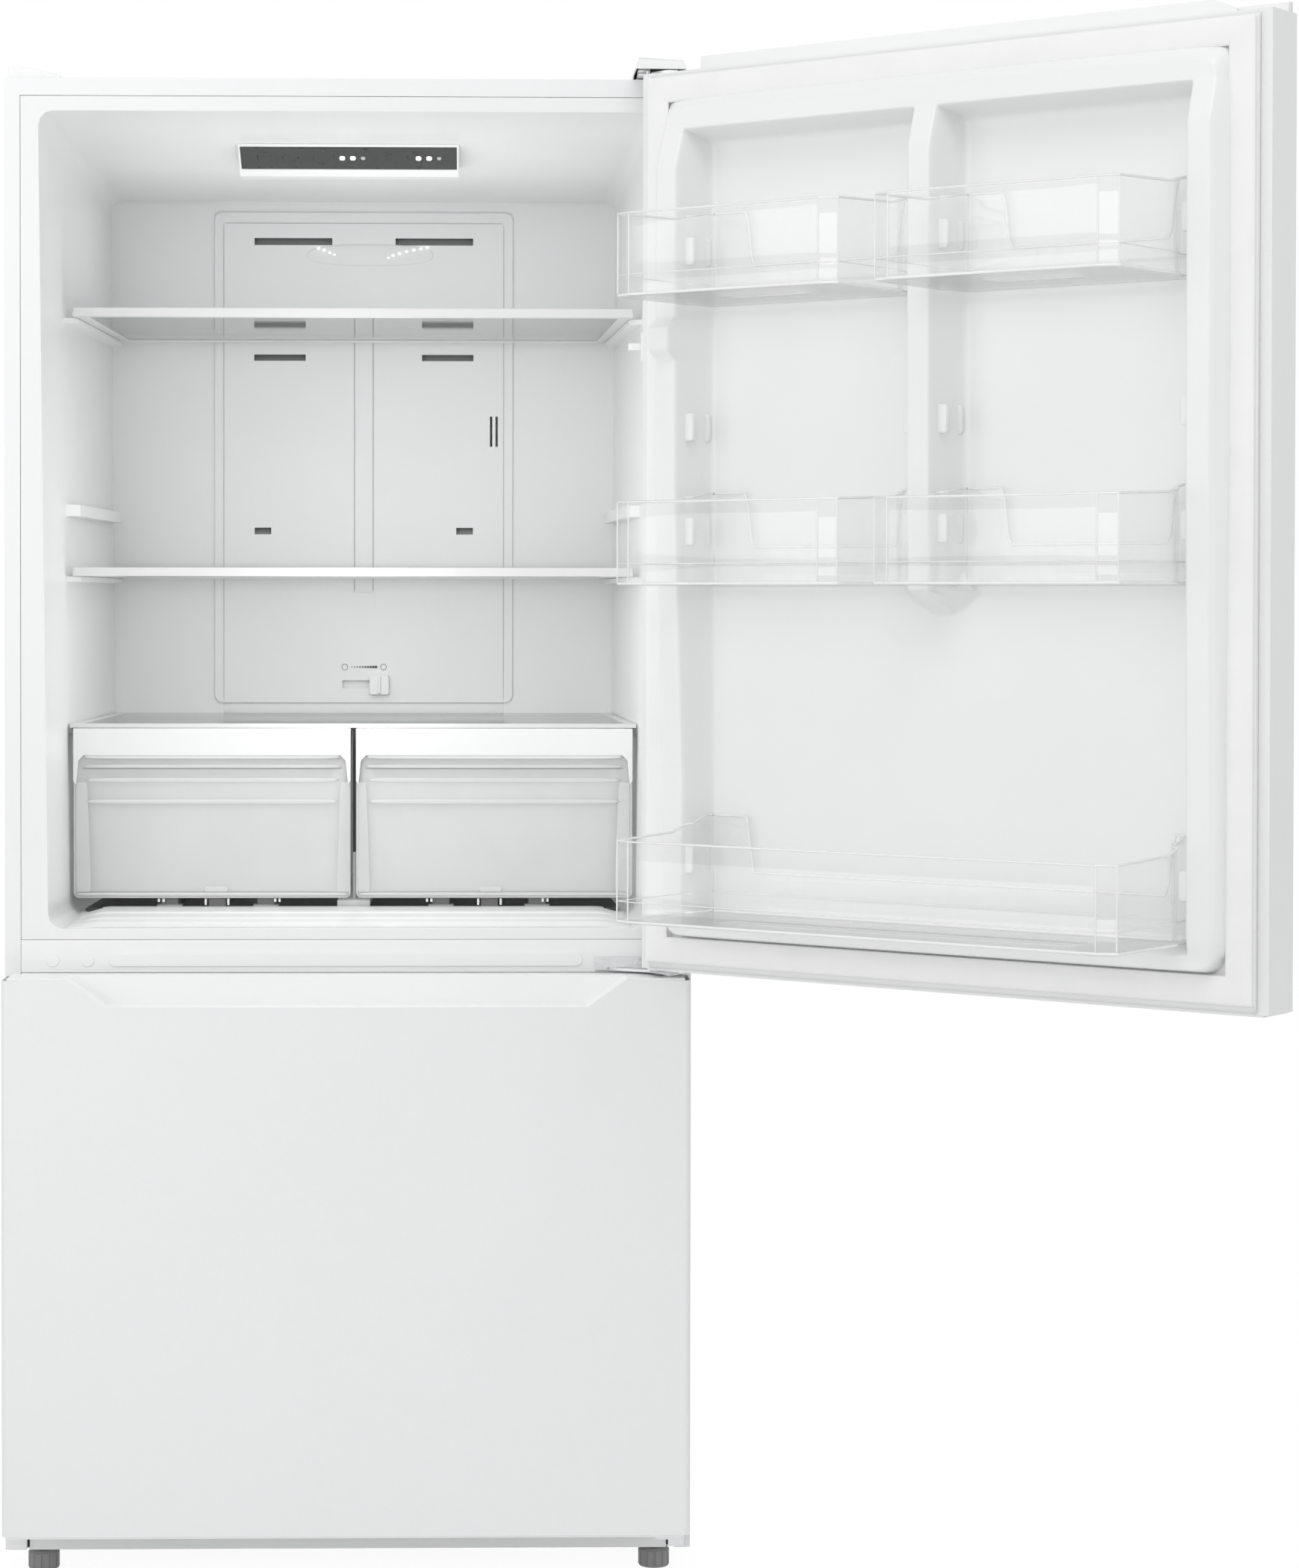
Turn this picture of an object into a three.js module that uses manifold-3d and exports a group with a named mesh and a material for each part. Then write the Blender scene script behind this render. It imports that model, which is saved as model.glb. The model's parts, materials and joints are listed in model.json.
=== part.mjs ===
// A bottom freezer refrigerator, 30 inch class: fridge door open, freezer door closed.
// Millimetres, +Z up. While it is built, X = 0 is the middle of the cabinet, Y = 0 the front of
// its steel flange with the room at negative Y, and Z = 0 the floor. At the end the whole group
// is moved so that the middle of its footprint on the floor is the origin.
import * as THREE from "three";
import { mergeVertices } from "three/addons/utils/BufferGeometryUtils.js";
import Module from "manifold-3d";

const wasm = await Module();
wasm.setup();

// ---------------------------------------------------------------- driving dimensions
const WIDTH = 759;
const CABINET_TOP = 1656;
const CABINET_BASE = 28;
const DEPTH = 690;
const HALF = WIDTH / 2;
const SHEET = 0.8; // folded steel sheet
const FLANGE_SIDE = 17.5; // steel frame seen from the front
const FLANGE_TOP = 19.5;
const GAP = 0.35; // running gap between neighbouring pieces
const LINER = 2.5; // vacuum-formed plastic

const FRIDGE = { floor: 722, lip: 717, top: 1620, back: 614, rearTop: 1582 };
const FRIDGE_HALF = { frontTop: 342, frontLow: 332, rearTop: 318, rearLow: 311 };
const FREEZER = { floor: 100, top: 664, back: 590, half: 334, rearHalf: 318 };
const MACHINE = { top: 300, front: 430 }; // compressor room at the bottom of the back
const MID_RAIL = { low: 668.8, high: 704.7 };

const SHELF_FRONT = 162;
const SHELF_BACK = 575;
const SHELF_HALF = { front: 322, back: 310 };
const SHELF_TOPS = { upper: 1416, lower: 1118 };
const SPARE_RIB = 1236;
const TOWER = { half: 188, low: 951, high: 1570, front: 580 };
const COVER_TOP = 938; // glass over the crispers
const CRISPER = { front: 163, back: 545, floor: 737, rim: 923.5, top: 932.8, inner: 3, outer: 322 };

const DOOR_HALF = 375;
const DOOR_FRONT = -73;
const DOOR_BACK = -15; // inner face of the steel pan
const FRIDGE_DOOR = { low: 676, high: 1655 };
const FREEZER_DOOR = { low: 58, high: 669 };
const HINGE = { x: 354.5, y: -40 };
const FRIDGE_DOOR_OPEN = 141.4; // degrees, as it stands here
const POCKET = { top: 306, bottom: 262, depth: 31 }; // finger pocket, half widths
const DYKE = { half: 318, crest: 84, width: 17, floor: 44, draft: 8 }; // depths from the front
const FRIDGE_DYKE = { low: 719, high: 1605 };
const FREEZER_DYKE = { low: 104, high: 660 };
const RIB = { half: 11, crest: 88, low: 1093, tip: 1066, spread: 44 };
const BIN = { back: 50, front: 224, shoulder: 89, inner: 20, outer: 296, wall: 2.2 };
const BIN_FACET = { wide: 20, deep: 8 };
const BIN_FLOORS = { upper: 1397, middle: 1096, lower: 743 };

// ---------------------------------------------------------------- colours
const finish = (color, roughness, metalness = 0, opacity = 1) =>
  new THREE.MeshStandardMaterial({ color, roughness, metalness, opacity, transparent: opacity < 1 });
const WHITE_STEEL = finish(0xf3f4f4, 0.45, 0.1);
const PEBBLED_STEEL = finish(0xeceded, 0.5, 0.1);
const WHITE_PLASTIC = finish(0xf7f7f7, 0.35);
const LINER_PLASTIC = finish(0xe9ebeb, 0.4);
const GASKET_VINYL = finish(0xf4f4f2, 0.7);
const CLEAR_PLASTIC = finish(0xf6f9fa, 0.08, 0, 0.3);
const CLEAR_GLASS = finish(0xe4efec, 0.05, 0, 0.3);
const GREY_PLASTIC = finish(0xb9bbbb, 0.55);
const PANEL_GREY = finish(0x5b5b5b, 0.3);
const ZINC_STEEL = finish(0xc4c6c8, 0.35, 0.9);
const FOAM = finish(0xe6dcae, 0.95);
const BLACK_STEEL = finish(0x1d1d1f, 0.5, 0.4);
const DARK_PLASTIC = finish(0x303234, 0.6);
const ALUMINIUM = finish(0xc9ccd0, 0.4, 0.9);

// ---------------------------------------------------------------- solids
// A closed surface as a solid; a surface that came out inside out is turned round.
function solid(geometry) {
  const bare = geometry.index ? geometry.toNonIndexed() : geometry.clone();
  bare.deleteAttribute("normal");
  bare.deleteAttribute("uv");
  const merged = mergeVertices(bare, 1e-4);
  const triVerts = [];
  const index = merged.index.array;
  for (let i = 0; i < index.length; i += 3) {
    const [a, b, c] = [index[i], index[i + 1], index[i + 2]];
    if (a !== b && b !== c && c !== a) triVerts.push(a, b, c);
  }
  const make = (triangles) =>
    new wasm.Manifold(
      new wasm.Mesh({
        numProp: 3,
        vertProperties: new Float32Array(merged.attributes.position.array),
        triVerts: new Uint32Array(triangles),
      }),
    );
  const made = make(triVerts);
  return made.volume() >= 0 ? made : make(triVerts.reverse());
}

const join = (first, ...others) => others.reduce((sum, other) => sum.add(other), first);
const cut = (first, ...others) => others.reduce((left, other) => left.subtract(other), first);
const moved = (body, x, y, z) => body.translate([x, y, z]);
const mirrored = (body) => body.mirror([1, 0, 0]);

function block([x0, x1], [y0, y1], [z0, z1]) {
  const box = new THREE.BoxGeometry(x1 - x0, y1 - y0, z1 - z0);
  return solid(box.translate((x0 + x1) / 2, (y0 + y1) / 2, (z0 + z1) / 2));
}

// Turns a shape drawn in (u, v) and pushed along w to stand square to one axis:
// "z" keeps it flat, "y" puts v upright and pushes along Y, "x" puts u along Y and v upright.
const STANDING = {
  x: new THREE.Matrix4().set(0, 0, 1, 0, 1, 0, 0, 0, 0, 1, 0, 0, 0, 0, 0, 1),
  y: new THREE.Matrix4().set(1, 0, 0, 0, 0, 0, -1, 0, 0, 1, 0, 0, 0, 0, 0, 1),
  z: new THREE.Matrix4(),
};

function slab(shape, axis, from, to, curveSegments = 4) {
  const settings = { depth: to - from, bevelEnabled: false, curveSegments };
  const geometry = new THREE.ExtrudeGeometry(shape, settings).applyMatrix4(STANDING[axis]);
  const start = { x: [from, 0, 0], y: [0, to, 0], z: [0, 0, from] }[axis];
  return solid(geometry.translate(...start));
}

function outline(...points) {
  return new THREE.Shape(points.map(([u, v]) => new THREE.Vector2(u, v)));
}

function roundedRect(u0, u1, v0, v1, r) {
  const quarter = Math.PI / 2;
  return new THREE.Shape()
    .absarc(u1 - r, v0 + r, r, -quarter, 0)
    .absarc(u1 - r, v1 - r, r, 0, quarter)
    .absarc(u0 + r, v1 - r, r, quarter, 2 * quarter)
    .absarc(u0 + r, v0 + r, r, 2 * quarter, 3 * quarter);
}

function rod(radius, axis, from, to, [u, v], sides = 16) {
  return slab(new THREE.Shape().absarc(u, v, radius, 0, 2 * Math.PI), axis, from, to, sides);
}

// A straight-sided body between two outlines of equal length, each a list of [x, y, z].
function loft(first, second) {
  const n = first.length;
  const corners = [...first, ...second].map((p) => new THREE.Vector3(...p));
  const faces = [];
  for (let i = 0; i < n; i++) {
    const j = (i + 1) % n;
    faces.push(i, j, n + j, i, n + j, n + i);
  }
  for (let i = 1; i < n - 1; i++) faces.push(0, i + 1, i, n, n + i, n + i + 1);
  const geometry = new THREE.BufferGeometry().setFromPoints(corners);
  return solid(geometry.setIndex(faces));
}

// Points of an upright trapezoid with rounded corners in the plane at one depth.
function uprightSection(y, halfLow, halfHigh, low, high, r, steps = 3) {
  const points = [];
  const corners = [
    [halfLow - r, low + r, -1],
    [halfHigh - r, high - r, 0],
    [-halfHigh + r, high - r, 1],
    [-halfLow + r, low + r, 2],
  ];
  for (const [x, z, quarter] of corners)
    for (let i = 0; i <= steps; i++) {
      const angle = ((quarter + i / steps) * Math.PI) / 2;
      points.push([x + r * Math.cos(angle), y, z + r * Math.sin(angle)]);
    }
  return points;
}

function sectionAt(z, x0, x1, y0, y1, r, steps = 3) {
  const points = roundedRect(x0, x1, y0, y1, r).getPoints(steps);
  if (points[0].distanceTo(points.at(-1)) < 1e-6) points.pop();
  return points.map((p) => [p.x, p.y, z]);
}

const refrigerator = new THREE.Group();
refrigerator.name = "refrigerator";
const fridgeDoor = new THREE.Group();
const freezerDoor = new THREE.Group();
refrigerator.add(fridgeDoor, freezerDoor);

function place(group, name, body, material, at = [0, 0, 0]) {
  const { numProp, vertProperties, triVerts } = body.getMesh();
  if (numProp !== 3) throw new Error(name + " carries more than positions");
  const geometry = new THREE.BufferGeometry()
    .setAttribute("position", new THREE.BufferAttribute(vertProperties, 3))
    .setIndex(new THREE.BufferAttribute(triVerts, 1));
  const mesh = new THREE.Mesh(geometry.toNonIndexed(), material);
  mesh.geometry.computeVertexNormals();
  mesh.name = name;
  mesh.position.set(...at);
  group.add(mesh);
  return mesh;
}

// ---------------------------------------------------------------- compartments
// The fridge compartment grown by a wall: it narrows to the back and its ceiling falls.
function fridgeSpace(wall, front = 0) {
  const { lip, top, back, rearTop } = FRIDGE;
  const { frontTop, frontLow, rearTop: high, rearLow: low } = FRIDGE_HALF;
  const near = uprightSection(front, frontLow + wall, frontTop + wall, lip - wall, top + wall, 16);
  const far = uprightSection(back + wall, low + wall, high + wall, lip + 3 - wall, rearTop + wall, 16);
  return loft(near, far);
}

// The freezer compartment: its floor steps up over the compressor room.
function freezerSpace(wall, front = 0) {
  const { floor, top, back, half, rearHalf } = FREEZER;
  const step = { y: MACHINE.front - 50, z: MACHINE.top + 50 };
  const side = outline(
    [front, floor - wall],
    [step.y + wall * 0.79, floor - wall],
    [step.y + 60 + wall * 0.79, step.z - wall],
    [back + wall, step.z - wall],
    [back + wall, top + wall],
    [front, top + wall],
  );
  const near = uprightSection(front, half + wall, half + wall, floor - wall, top + wall, 10);
  const far = uprightSection(back + wall, rearHalf + wall, rearHalf + wall, floor - wall, top + wall, 10);
  return slab(side, "x", -half - 50, half + 50).intersect(loft(near, far));
}

// Half width of the fridge liner at a depth and a height.
function fridgeWall(y, z) {
  const depth = y / FRIDGE.back;
  const up = (z - FRIDGE.lip) / (FRIDGE.top - FRIDGE.lip);
  const front = THREE.MathUtils.lerp(FRIDGE_HALF.frontLow, FRIDGE_HALF.frontTop, up);
  const rear = THREE.MathUtils.lerp(FRIDGE_HALF.rearLow, FRIDGE_HALF.rearTop, up);
  return THREE.MathUtils.lerp(front, rear, depth);
}

// ---------------------------------------------------------------- cabinet
function cabinetWrapper() {
  const outer = roundedRect(-HALF, HALF, CABINET_BASE, CABINET_TOP, 4);
  const hollow = (side, top) => block([-HALF + side, HALF - side], [-1, DEPTH + 1], [0, CABINET_TOP - top]);
  const skin = cut(slab(outer, "y", 0, DEPTH), hollow(SHEET, SHEET));
  const frame = cut(slab(outer, "y", 0, SHEET), hollow(FLANGE_SIDE, FLANGE_TOP));
  const squareFoot = block([-HALF, HALF], [0, DEPTH], [CABINET_BASE, CABINET_BASE + 6]);
  const plug = rod(5.8, "y", -0.8, SHEET, [-371, 689]);
  return join(skin, frame, cut(squareFoot, hollow(SHEET, SHEET)), plug);
}

function cabinetBack() {
  const half = HALF - SHEET - GAP;
  const sheet = block([-half, half], [DEPTH - 1, DEPTH - 0.2], [MACHINE.top + 2, CABINET_TOP - SHEET - GAP]);
  const beads = [-220, 220].map((x) =>
    slab(roundedRect(x - 12, x + 12, 420, 1540, 12), "y", DEPTH - 0.8, DEPTH + 2.5, 3),
  );
  return join(sheet, ...beads);
}

function cabinetFoam() {
  const half = HALF - SHEET - GAP;
  const whole = block([-half, half], [4, DEPTH - 1.5], [64, CABINET_TOP - SHEET - GAP]);
  const room = block([-HALF, HALF], [MACHINE.front, DEPTH + 1], [0, MACHINE.top + 1]);
  return cut(whole, fridgeSpace(LINER + GAP, -5), freezerSpace(LINER + GAP, -5), room);
}

function baseRail() {
  const half = HALF - SHEET - GAP;
  const rail = block([-353, 353], [0, 8], [CABINET_BASE, 61.5]);
  const pan = block([-half, half], [7, 595], [CABINET_BASE, CABINET_BASE + 1.2]);
  const back = block([-300, 300], [590, DEPTH - 20], [CABINET_BASE, CABINET_BASE + 1.2]);
  const sides = [-half, half - 1.2].map((x) =>
    block([x, x + 1.2], [7, DEPTH - 20], [CABINET_BASE, 60]),
  );
  const yokes = [-1, 1].flatMap((side) =>
    [-13.5, 11.5].map((x) =>
      block([side * ROLLER.x + x, side * ROLLER.x + x + 2], [590, 655], [10, 60]),
    ),
  );
  const ties = [-half, half - 60].map((x) => block([x, x + 60], [588, 596], [CABINET_BASE, 60]));
  return join(rail, pan, back, ...sides, ...ties, ...yokes);
}

function midRail() {
  const half = HALF - FLANGE_SIDE - GAP;
  const plate = block([-half, half], [0, 3], [MID_RAIL.low, MID_RAIL.high]);
  const bead = slab(roundedRect(-265, 259, 675.5, 689.5, 6.9), "y", -1.4, 1);
  const caps = [-327, -288.5].map((x) => rod(7.5, "y", -1.1, 1, [x, 682.5]));
  return join(plate, bead, ...caps);
}

// ---------------------------------------------------------------- liners
function supportRib(side, height) {
  const reach = 14;
  const thick = 6;
  const wall = (y) => fridgeWall(y, height);
  const plan = outline(
    [side * (wall(176) + 1), 176],
    [side * (wall(190) - reach), 190],
    [side * (wall(556) - reach), 556],
    [side * (wall(570) + 1), 570],
  );
  return slab(plan, "z", height - thick, height);
}

function fridgeLiner() {
  const half = HALF - FLANGE_SIDE - GAP;
  const shell = cut(fridgeSpace(LINER, 0.6), fridgeSpace(0, -5));
  const rim = block([-half, half], [0.6, 3], [MID_RAIL.high + GAP, CABINET_TOP - FLANGE_TOP - GAP]);
  const heights = [SHELF_TOPS.upper - 10.5, SPARE_RIB, SHELF_TOPS.lower - 10.5, COVER_TOP - 5.3];
  const ribs = heights.flatMap((z) => [-1, 1].map((side) => supportRib(side, z)));
  return join(shell, cut(rim, fridgeSpace(0, -5)), ...ribs);
}

function freezerLiner() {
  const half = HALF - FLANGE_SIDE - GAP;
  const shell = cut(freezerSpace(LINER, 0.6), freezerSpace(0, -5));
  const rim = block([-half, half], [0.6, 3], [62, MID_RAIL.low - GAP]);
  const runners = [-1, 1].map((side) =>
    block([side * 318 - 18, side * 318 + 18], [60, 520], [404, 410]).intersect(freezerSpace(0.5, -5)),
  );
  return join(shell, cut(rim, freezerSpace(0, -5)), ...runners);
}

// ---------------------------------------------------------------- air tower, lamp and controls
const VENTS = [
  { x: 89, z: 1533.5, width: 98, height: 9 },
  { x: 106, z: 1427, width: 65, height: 9 },
  { x: 106, z: 1387, width: 65, height: 8 },
  { x: 127.5, z: 1168, width: 21, height: 8.5 },
];
const KNOB_SLOT = { x0: -27, x1: 32, z0: 969, z1: 979 };

function airTower() {
  const { half, low, high, front } = TOWER;
  const body = slab(roundedRect(-half, half, low, high, 10), "y", front, FRIDGE.back - 1);
  const duct = block([-half + 14, half - 14], [front + 3, FRIDGE.back + 1], [low + 14, high - 14]);
  const vents = VENTS.flatMap(({ x, z, width, height }) =>
    [-1, 1].map((side) =>
      block(
        [side * x - width / 2, side * x + width / 2],
        [front - 1, front + 5],
        [z - height / 2, z + height / 2],
      ),
    ),
  );
  const sensorSlots = [161, 168].map((x) => block([x - 1.5, x + 1.5], [front - 1, front + 5], [1275, 1313]));
  const channel = cut(
    block([-12.5, 12.5], [front - 1, front + 0.8], [1090, 1441]),
    block([-11, 11], [front - 2, front + 2], [1091, 1440]),
  );
  const knobSlot = block([KNOB_SLOT.x0, KNOB_SLOT.x1], [front - 1, front + 5], [KNOB_SLOT.z0, KNOB_SLOT.z1]);
  const tab = block([-12, 15], [front - 1.2, front + 1], [1069.5, 1090]);
  return join(cut(body, duct, ...vents, ...sensorSlots, channel, knobSlot), tab);
}

function lightLens() {
  return slab(roundedRect(-62, 78, 1508, 1526, 4), "y", TOWER.front - 5, TOWER.front - GAP, 2);
}

function temperatureKnob() {
  const front = TOWER.front;
  const grip = slab(roundedRect(7.5, 32, 961, 986, 3), "y", front - 9, front - GAP, 2);
  const ridge = block([18, 21.5], [front - 13, front - 8], [963, 984]);
  const stem = block([13, 27], [front - 1, front + 6], [KNOB_SLOT.z0 + 1, KNOB_SLOT.z1 - 1]);
  return join(grip, ridge, stem);
}

// The control box hangs under the ceiling, its face tilted down towards the user.
const CONTROL = { x0: -135, x1: 121, front: 190, edge: 236, low: 1576, face: 1582 };
const ceiling = (y) => FRIDGE.top - ((FRIDGE.top - FRIDGE.rearTop) * y) / FRIDGE.back;

function controlWedge(inset, lift) {
  const { x0, x1, front, edge, low, face } = CONTROL;
  const side = outline(
    [front, ceiling(front) - GAP],
    [edge, face],
    [edge + 4, low],
    [edge + 70, low + 4],
    [edge + 110, ceiling(edge + 110) - GAP],
  );
  return moved(slab(side, "x", x0 + inset, x1 - inset), 0, lift, 0);
}

function controlFaceBox(margin, from, to) {
  const { x0, x1, front, edge, face } = CONTROL;
  const start = new THREE.Vector2(front, ceiling(front) - GAP);
  const along = new THREE.Vector2(edge, face).sub(start);
  const length = along.length();
  along.normalize();
  const out = new THREE.Vector2(along.y, -along.x);
  const at = (s, d) => [start.x + along.x * s + out.x * d, start.y + along.y * s + out.y * d];
  const tilted = outline(
    at(margin + 4, from),
    at(length - margin, from),
    at(length - margin, to),
    at(margin + 4, to),
  );
  return slab(tilted, "x", x0 + margin, x1 - margin);
}

function controlHousing() {
  return cut(controlWedge(0, 0), controlFaceBox(2.5, -3, 3));
}

function controlPanel() {
  return controlFaceBox(2.9, -2.6, -0.3);
}

// ---------------------------------------------------------------- light switch
const SWITCH = { y: 142, z: 1371 };

function lightSwitchPlate() {
  const x = fridgeWall(SWITCH.y, SWITCH.z) - GAP - 1.2;
  const plate = slab(roundedRect(SWITCH.y - 8, SWITCH.y + 8, SWITCH.z - 16, SWITCH.z + 16, 2), "x", x - 3, x);
  const window = block([x - 4, x + 1], [SWITCH.y - 4, SWITCH.y + 4], [SWITCH.z - 6, SWITCH.z + 6]);
  return cut(plate, window);
}

function lightSwitchLever() {
  const x = fridgeWall(SWITCH.y, SWITCH.z) - GAP - 1.2;
  return slab(roundedRect(x - 17, x - 0.4, SWITCH.y - 3, SWITCH.y + 3, 2.9), "z", SWITCH.z - 4, SWITCH.z + 4);
}

// ---------------------------------------------------------------- shelves and crisper cover
function shelfPlan(inset) {
  const { front, back } = SHELF_HALF;
  return outline(
    [-front + inset, SHELF_FRONT + inset],
    [front - inset, SHELF_FRONT + inset],
    [back - inset, SHELF_BACK - inset],
    [-back + inset, SHELF_BACK - inset],
  );
}

function shelfFrame(top) {
  const ring = cut(slab(shelfPlan(0), "z", top - 10, top - 5), slab(shelfPlan(9), "z", top - 20, top + 1));
  const inside = slab(shelfPlan(16), "z", top - 20, top + 1);
  const ledge = cut(slab(shelfPlan(4), "z", top - 10, top - 8.4), inside);
  const profile = outline(
    [SHELF_FRONT, top - 9],
    [SHELF_FRONT + 3, top - 10],
    [SHELF_FRONT + 9, top - 10],
    [SHELF_FRONT + 9, top - 3],
    [SHELF_FRONT + 6, top],
    [SHELF_FRONT, top],
  );
  const nose = slab(profile, "x", -SHELF_HALF.front + 1, SHELF_HALF.front - 1);
  const rear = [SHELF_BACK - 9, SHELF_BACK - 3];
  const stop = block([-SHELF_HALF.back + 4, SHELF_HALF.back - 4], rear, [top - 10, top + 3]);
  return join(ring, ledge, nose, stop);
}

function shelfGlass(top) {
  return slab(shelfPlan(9.4), "z", top - 8.1, top - 4.6);
}

const COVER = { front: 168, back: 600 };

function coverPlan(inset) {
  const z = COVER_TOP;
  const side = (y) => fridgeWall(y, z) - 2 - inset;
  const [near, far] = [COVER.front + inset, COVER.back - inset];
  return outline([-side(near), near], [side(near), near], [side(far), far], [-side(far), far]);
}

function crisperCoverFrame() {
  const ring = cut(slab(coverPlan(0), "z", COVER_TOP - 4.6, COVER_TOP), slab(coverPlan(12), "z", 0, 2000));
  const ledge = cut(
    slab(coverPlan(8), "z", COVER_TOP - 4.6, COVER_TOP - 3.6),
    slab(coverPlan(17), "z", 0, 2000),
  );
  return join(ring, ledge);
}

function crisperCoverGlass() {
  return slab(coverPlan(12.4), "z", COVER_TOP - 3.3, COVER_TOP - 0.2);
}

// ---------------------------------------------------------------- crispers
function crisperBase() {
  const side = (y) => fridgeWall(y, FRIDGE.floor) - 19;
  const plan = outline([-side(160), 160], [side(160), 160], [side(590), 590], [-side(590), 590]);
  const plate = slab(plan, "z", FRIDGE.floor + 1, FRIDGE.floor + 4);
  const glides = [212, 157, 101].flatMap((x) =>
    [-1, 1].map((s) => block([s * x - 10, s * x + 10], [172, 560], [FRIDGE.floor + 3, CRISPER.floor - 0.6])),
  );
  const foot = block([-19, 19], [178, 580], [FRIDGE.floor + 3, CRISPER.floor - 3]);
  const web = block([-1.6, 1.6], [200, 580], [FRIDGE.floor + 3, COVER_TOP - 6]);
  const head = block([-8, 8], [200, 580], [COVER_TOP - 8.5, COVER_TOP - 5]);
  return join(plate, ...glides, foot, web, head);
}

// Each crisper is a tapered clear tub with a full front plate and a white handle strip.
function crisperTub() {
  const { front, back, floor, rim, inner, outer } = CRISPER;
  const section = (z, slack, i) =>
    sectionAt(z, inner + 5 + slack + i, outer - 12 - slack + i * -1, front + 6 + slack + i,
      back - slack - i, 14 - i, 2);
  const tub = cut(
    loft(section(floor, 6, 0), section(rim, 0, 0)),
    loft(section(floor + 2.4, 6, 2.4), section(rim + 1, 0, 2.4)),
  );
  const face = roundedRect(inner, outer, floor + 0.3, rim, 6);
  return join(tub, slab(face, "y", front + 4.5, front + 7.5, 2));
}

function crisperFront() {
  const { front, inner, outer, top } = CRISPER;
  const wing = 31;
  const strip = outline(
    [inner, top],
    [inner, top - 60],
    [inner + 3, top - 65],
    [inner + 6, top - wing - 6],
    [inner + 12, top - wing],
    [outer - 12, top - wing],
    [outer - 6, top - wing - 6],
    [outer - 3, top - 65],
    [outer, top - 60],
    [outer, top],
  );
  const face = slab(strip, "y", front, front + 4.1);
  const lid = block([inner, outer], [front, front + 12], [top - 3, top]);
  const lip = block([inner + 16, outer - 16], [front + 9.5, front + 12], [top - 8, top - 1]);
  return join(face, lid, lip);
}

// ---------------------------------------------------------------- hinges
function topHinge() {
  const z = CABINET_TOP + GAP;
  const base = block([318, 366], [12, 78], [z, z + 3.2]);
  const plan = outline(
    [332, 14],
    [332, -32],
    [HINGE.x - 12, HINGE.y - 6],
    [HINGE.x - 6, HINGE.y - 9],
    [HINGE.x + 6, HINGE.y - 9],
    [366, -34],
    [366, 14],
  );
  const pin = rod(5, "z", CABINET_TOP - 15, z + 2, [HINGE.x, HINGE.y]);
  const screws = [[326, 30], [326, 62], [356, 46]].map((at) => rod(5, "z", z + 3, z + 6, at, 8));
  return join(base, slab(plan, "z", z, z + 3.2), pin, ...screws);
}

function topHingeCover() {
  const z = CABINET_TOP + GAP;
  const [left, right] = [313, 371];
  const side = (wall) =>
    outline(
      [-50 + wall, z + 5],
      [-50 + wall, z + 17 - wall],
      [-43, z + 21 - wall],
      [58, z + 21 - wall],
      [86 - wall, z + 10 - wall],
      [86 - wall, z - wall],
      [10 + wall, z - wall],
      [10 + wall, z + 5],
    );
  const room = slab(side(2), "x", left + 2, right - 2);
  const mouth = block([left + 2, right - 2], [-48, 12.1], [z - 1, z + 8]);
  return cut(slab(side(0), "x", left, right), room, mouth);
}

function topHingeBlank() {
  const z = CABINET_TOP + GAP;
  const front = outline([-376, z], [-318, z], [-318, z + 3], [-352, z + 11], [-374, z + 12], [-376, z + 9]);
  return slab(front, "y", 6, 66);
}

function midHinge() {
  const low = 671;
  const plate = block([273, 346], [-3, -GAP], [low, 685.5]);
  const curl = block([275, 344], [-4.2, -GAP], [683.5, 685.5]);
  const plan = outline(
    [284, -0.6],
    [296, -10],
    [332, -30],
    [HINGE.x - 11, HINGE.y - 9],
    [HINGE.x + 9, HINGE.y - 9],
    [370, HINGE.y],
    [370, HINGE.y + 12],
    [346, -0.6],
  );
  const pin = rod(5, "z", low - 16, low + 20, [HINGE.x, HINGE.y]);
  const collar = rod(9, "z", low - 1.4, low + 1, [HINGE.x, HINGE.y]);
  const stop = block([332, 344], [-31, -24], [low + 2, low + 4.2]);
  const screws = [283, 322].map((x) => rod(5.2, "y", -5.5, -2, [x, 677.5], 10));
  const slots = [283, 322].flatMap((x) => [
    block([x - 3, x + 3], [-7, -4.6], [676.7, 678.3]),
    block([x - 0.8, x + 0.8], [-7, -4.6], [674.5, 680.5]),
  ]);
  return cut(join(plate, curl, slab(plan, "z", low, low + 3), pin, collar, stop, ...screws), ...slots);
}

function bottomHinge() {
  const arm = block([338, 368], [HINGE.y - 12, -GAP], [50, 54]);
  const mount = block([355, 373], [-4, -GAP], [30, 54]);
  const pin = rod(5, "z", 52, 72, [HINGE.x, HINGE.y]);
  return join(arm, mount, pin);
}

function bottomHingeBlank() {
  return block([-373, -355], [-9, -GAP], [30, 54]);
}

// ---------------------------------------------------------------- feet and rollers
const FOOT = { x: 341, y: 34 };

function foot() {
  const profile = [];
  const ring = (r, z) => profile.push(new THREE.Vector2(r, z));
  ring(0, 0);
  ring(16.5, 0);
  ring(17.5, 2);
  ring(17.5, 18);
  ring(15, 21);
  ring(5, 21);
  ring(5, 27.6);
  ring(0, 27.6);
  const body = solid(new THREE.LatheGeometry(profile, 20).rotateX(Math.PI / 2));
  const grooves = [...Array(12).keys()].map((i) => {
    const angle = (i * Math.PI) / 6;
    return rod(1.8, "z", 3, 17, [17.8 * Math.cos(angle), 17.8 * Math.sin(angle)], 3);
  });
  return cut(body, ...grooves);
}

const ROLLER = { x: 320, y: 630, radius: 18 };

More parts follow.
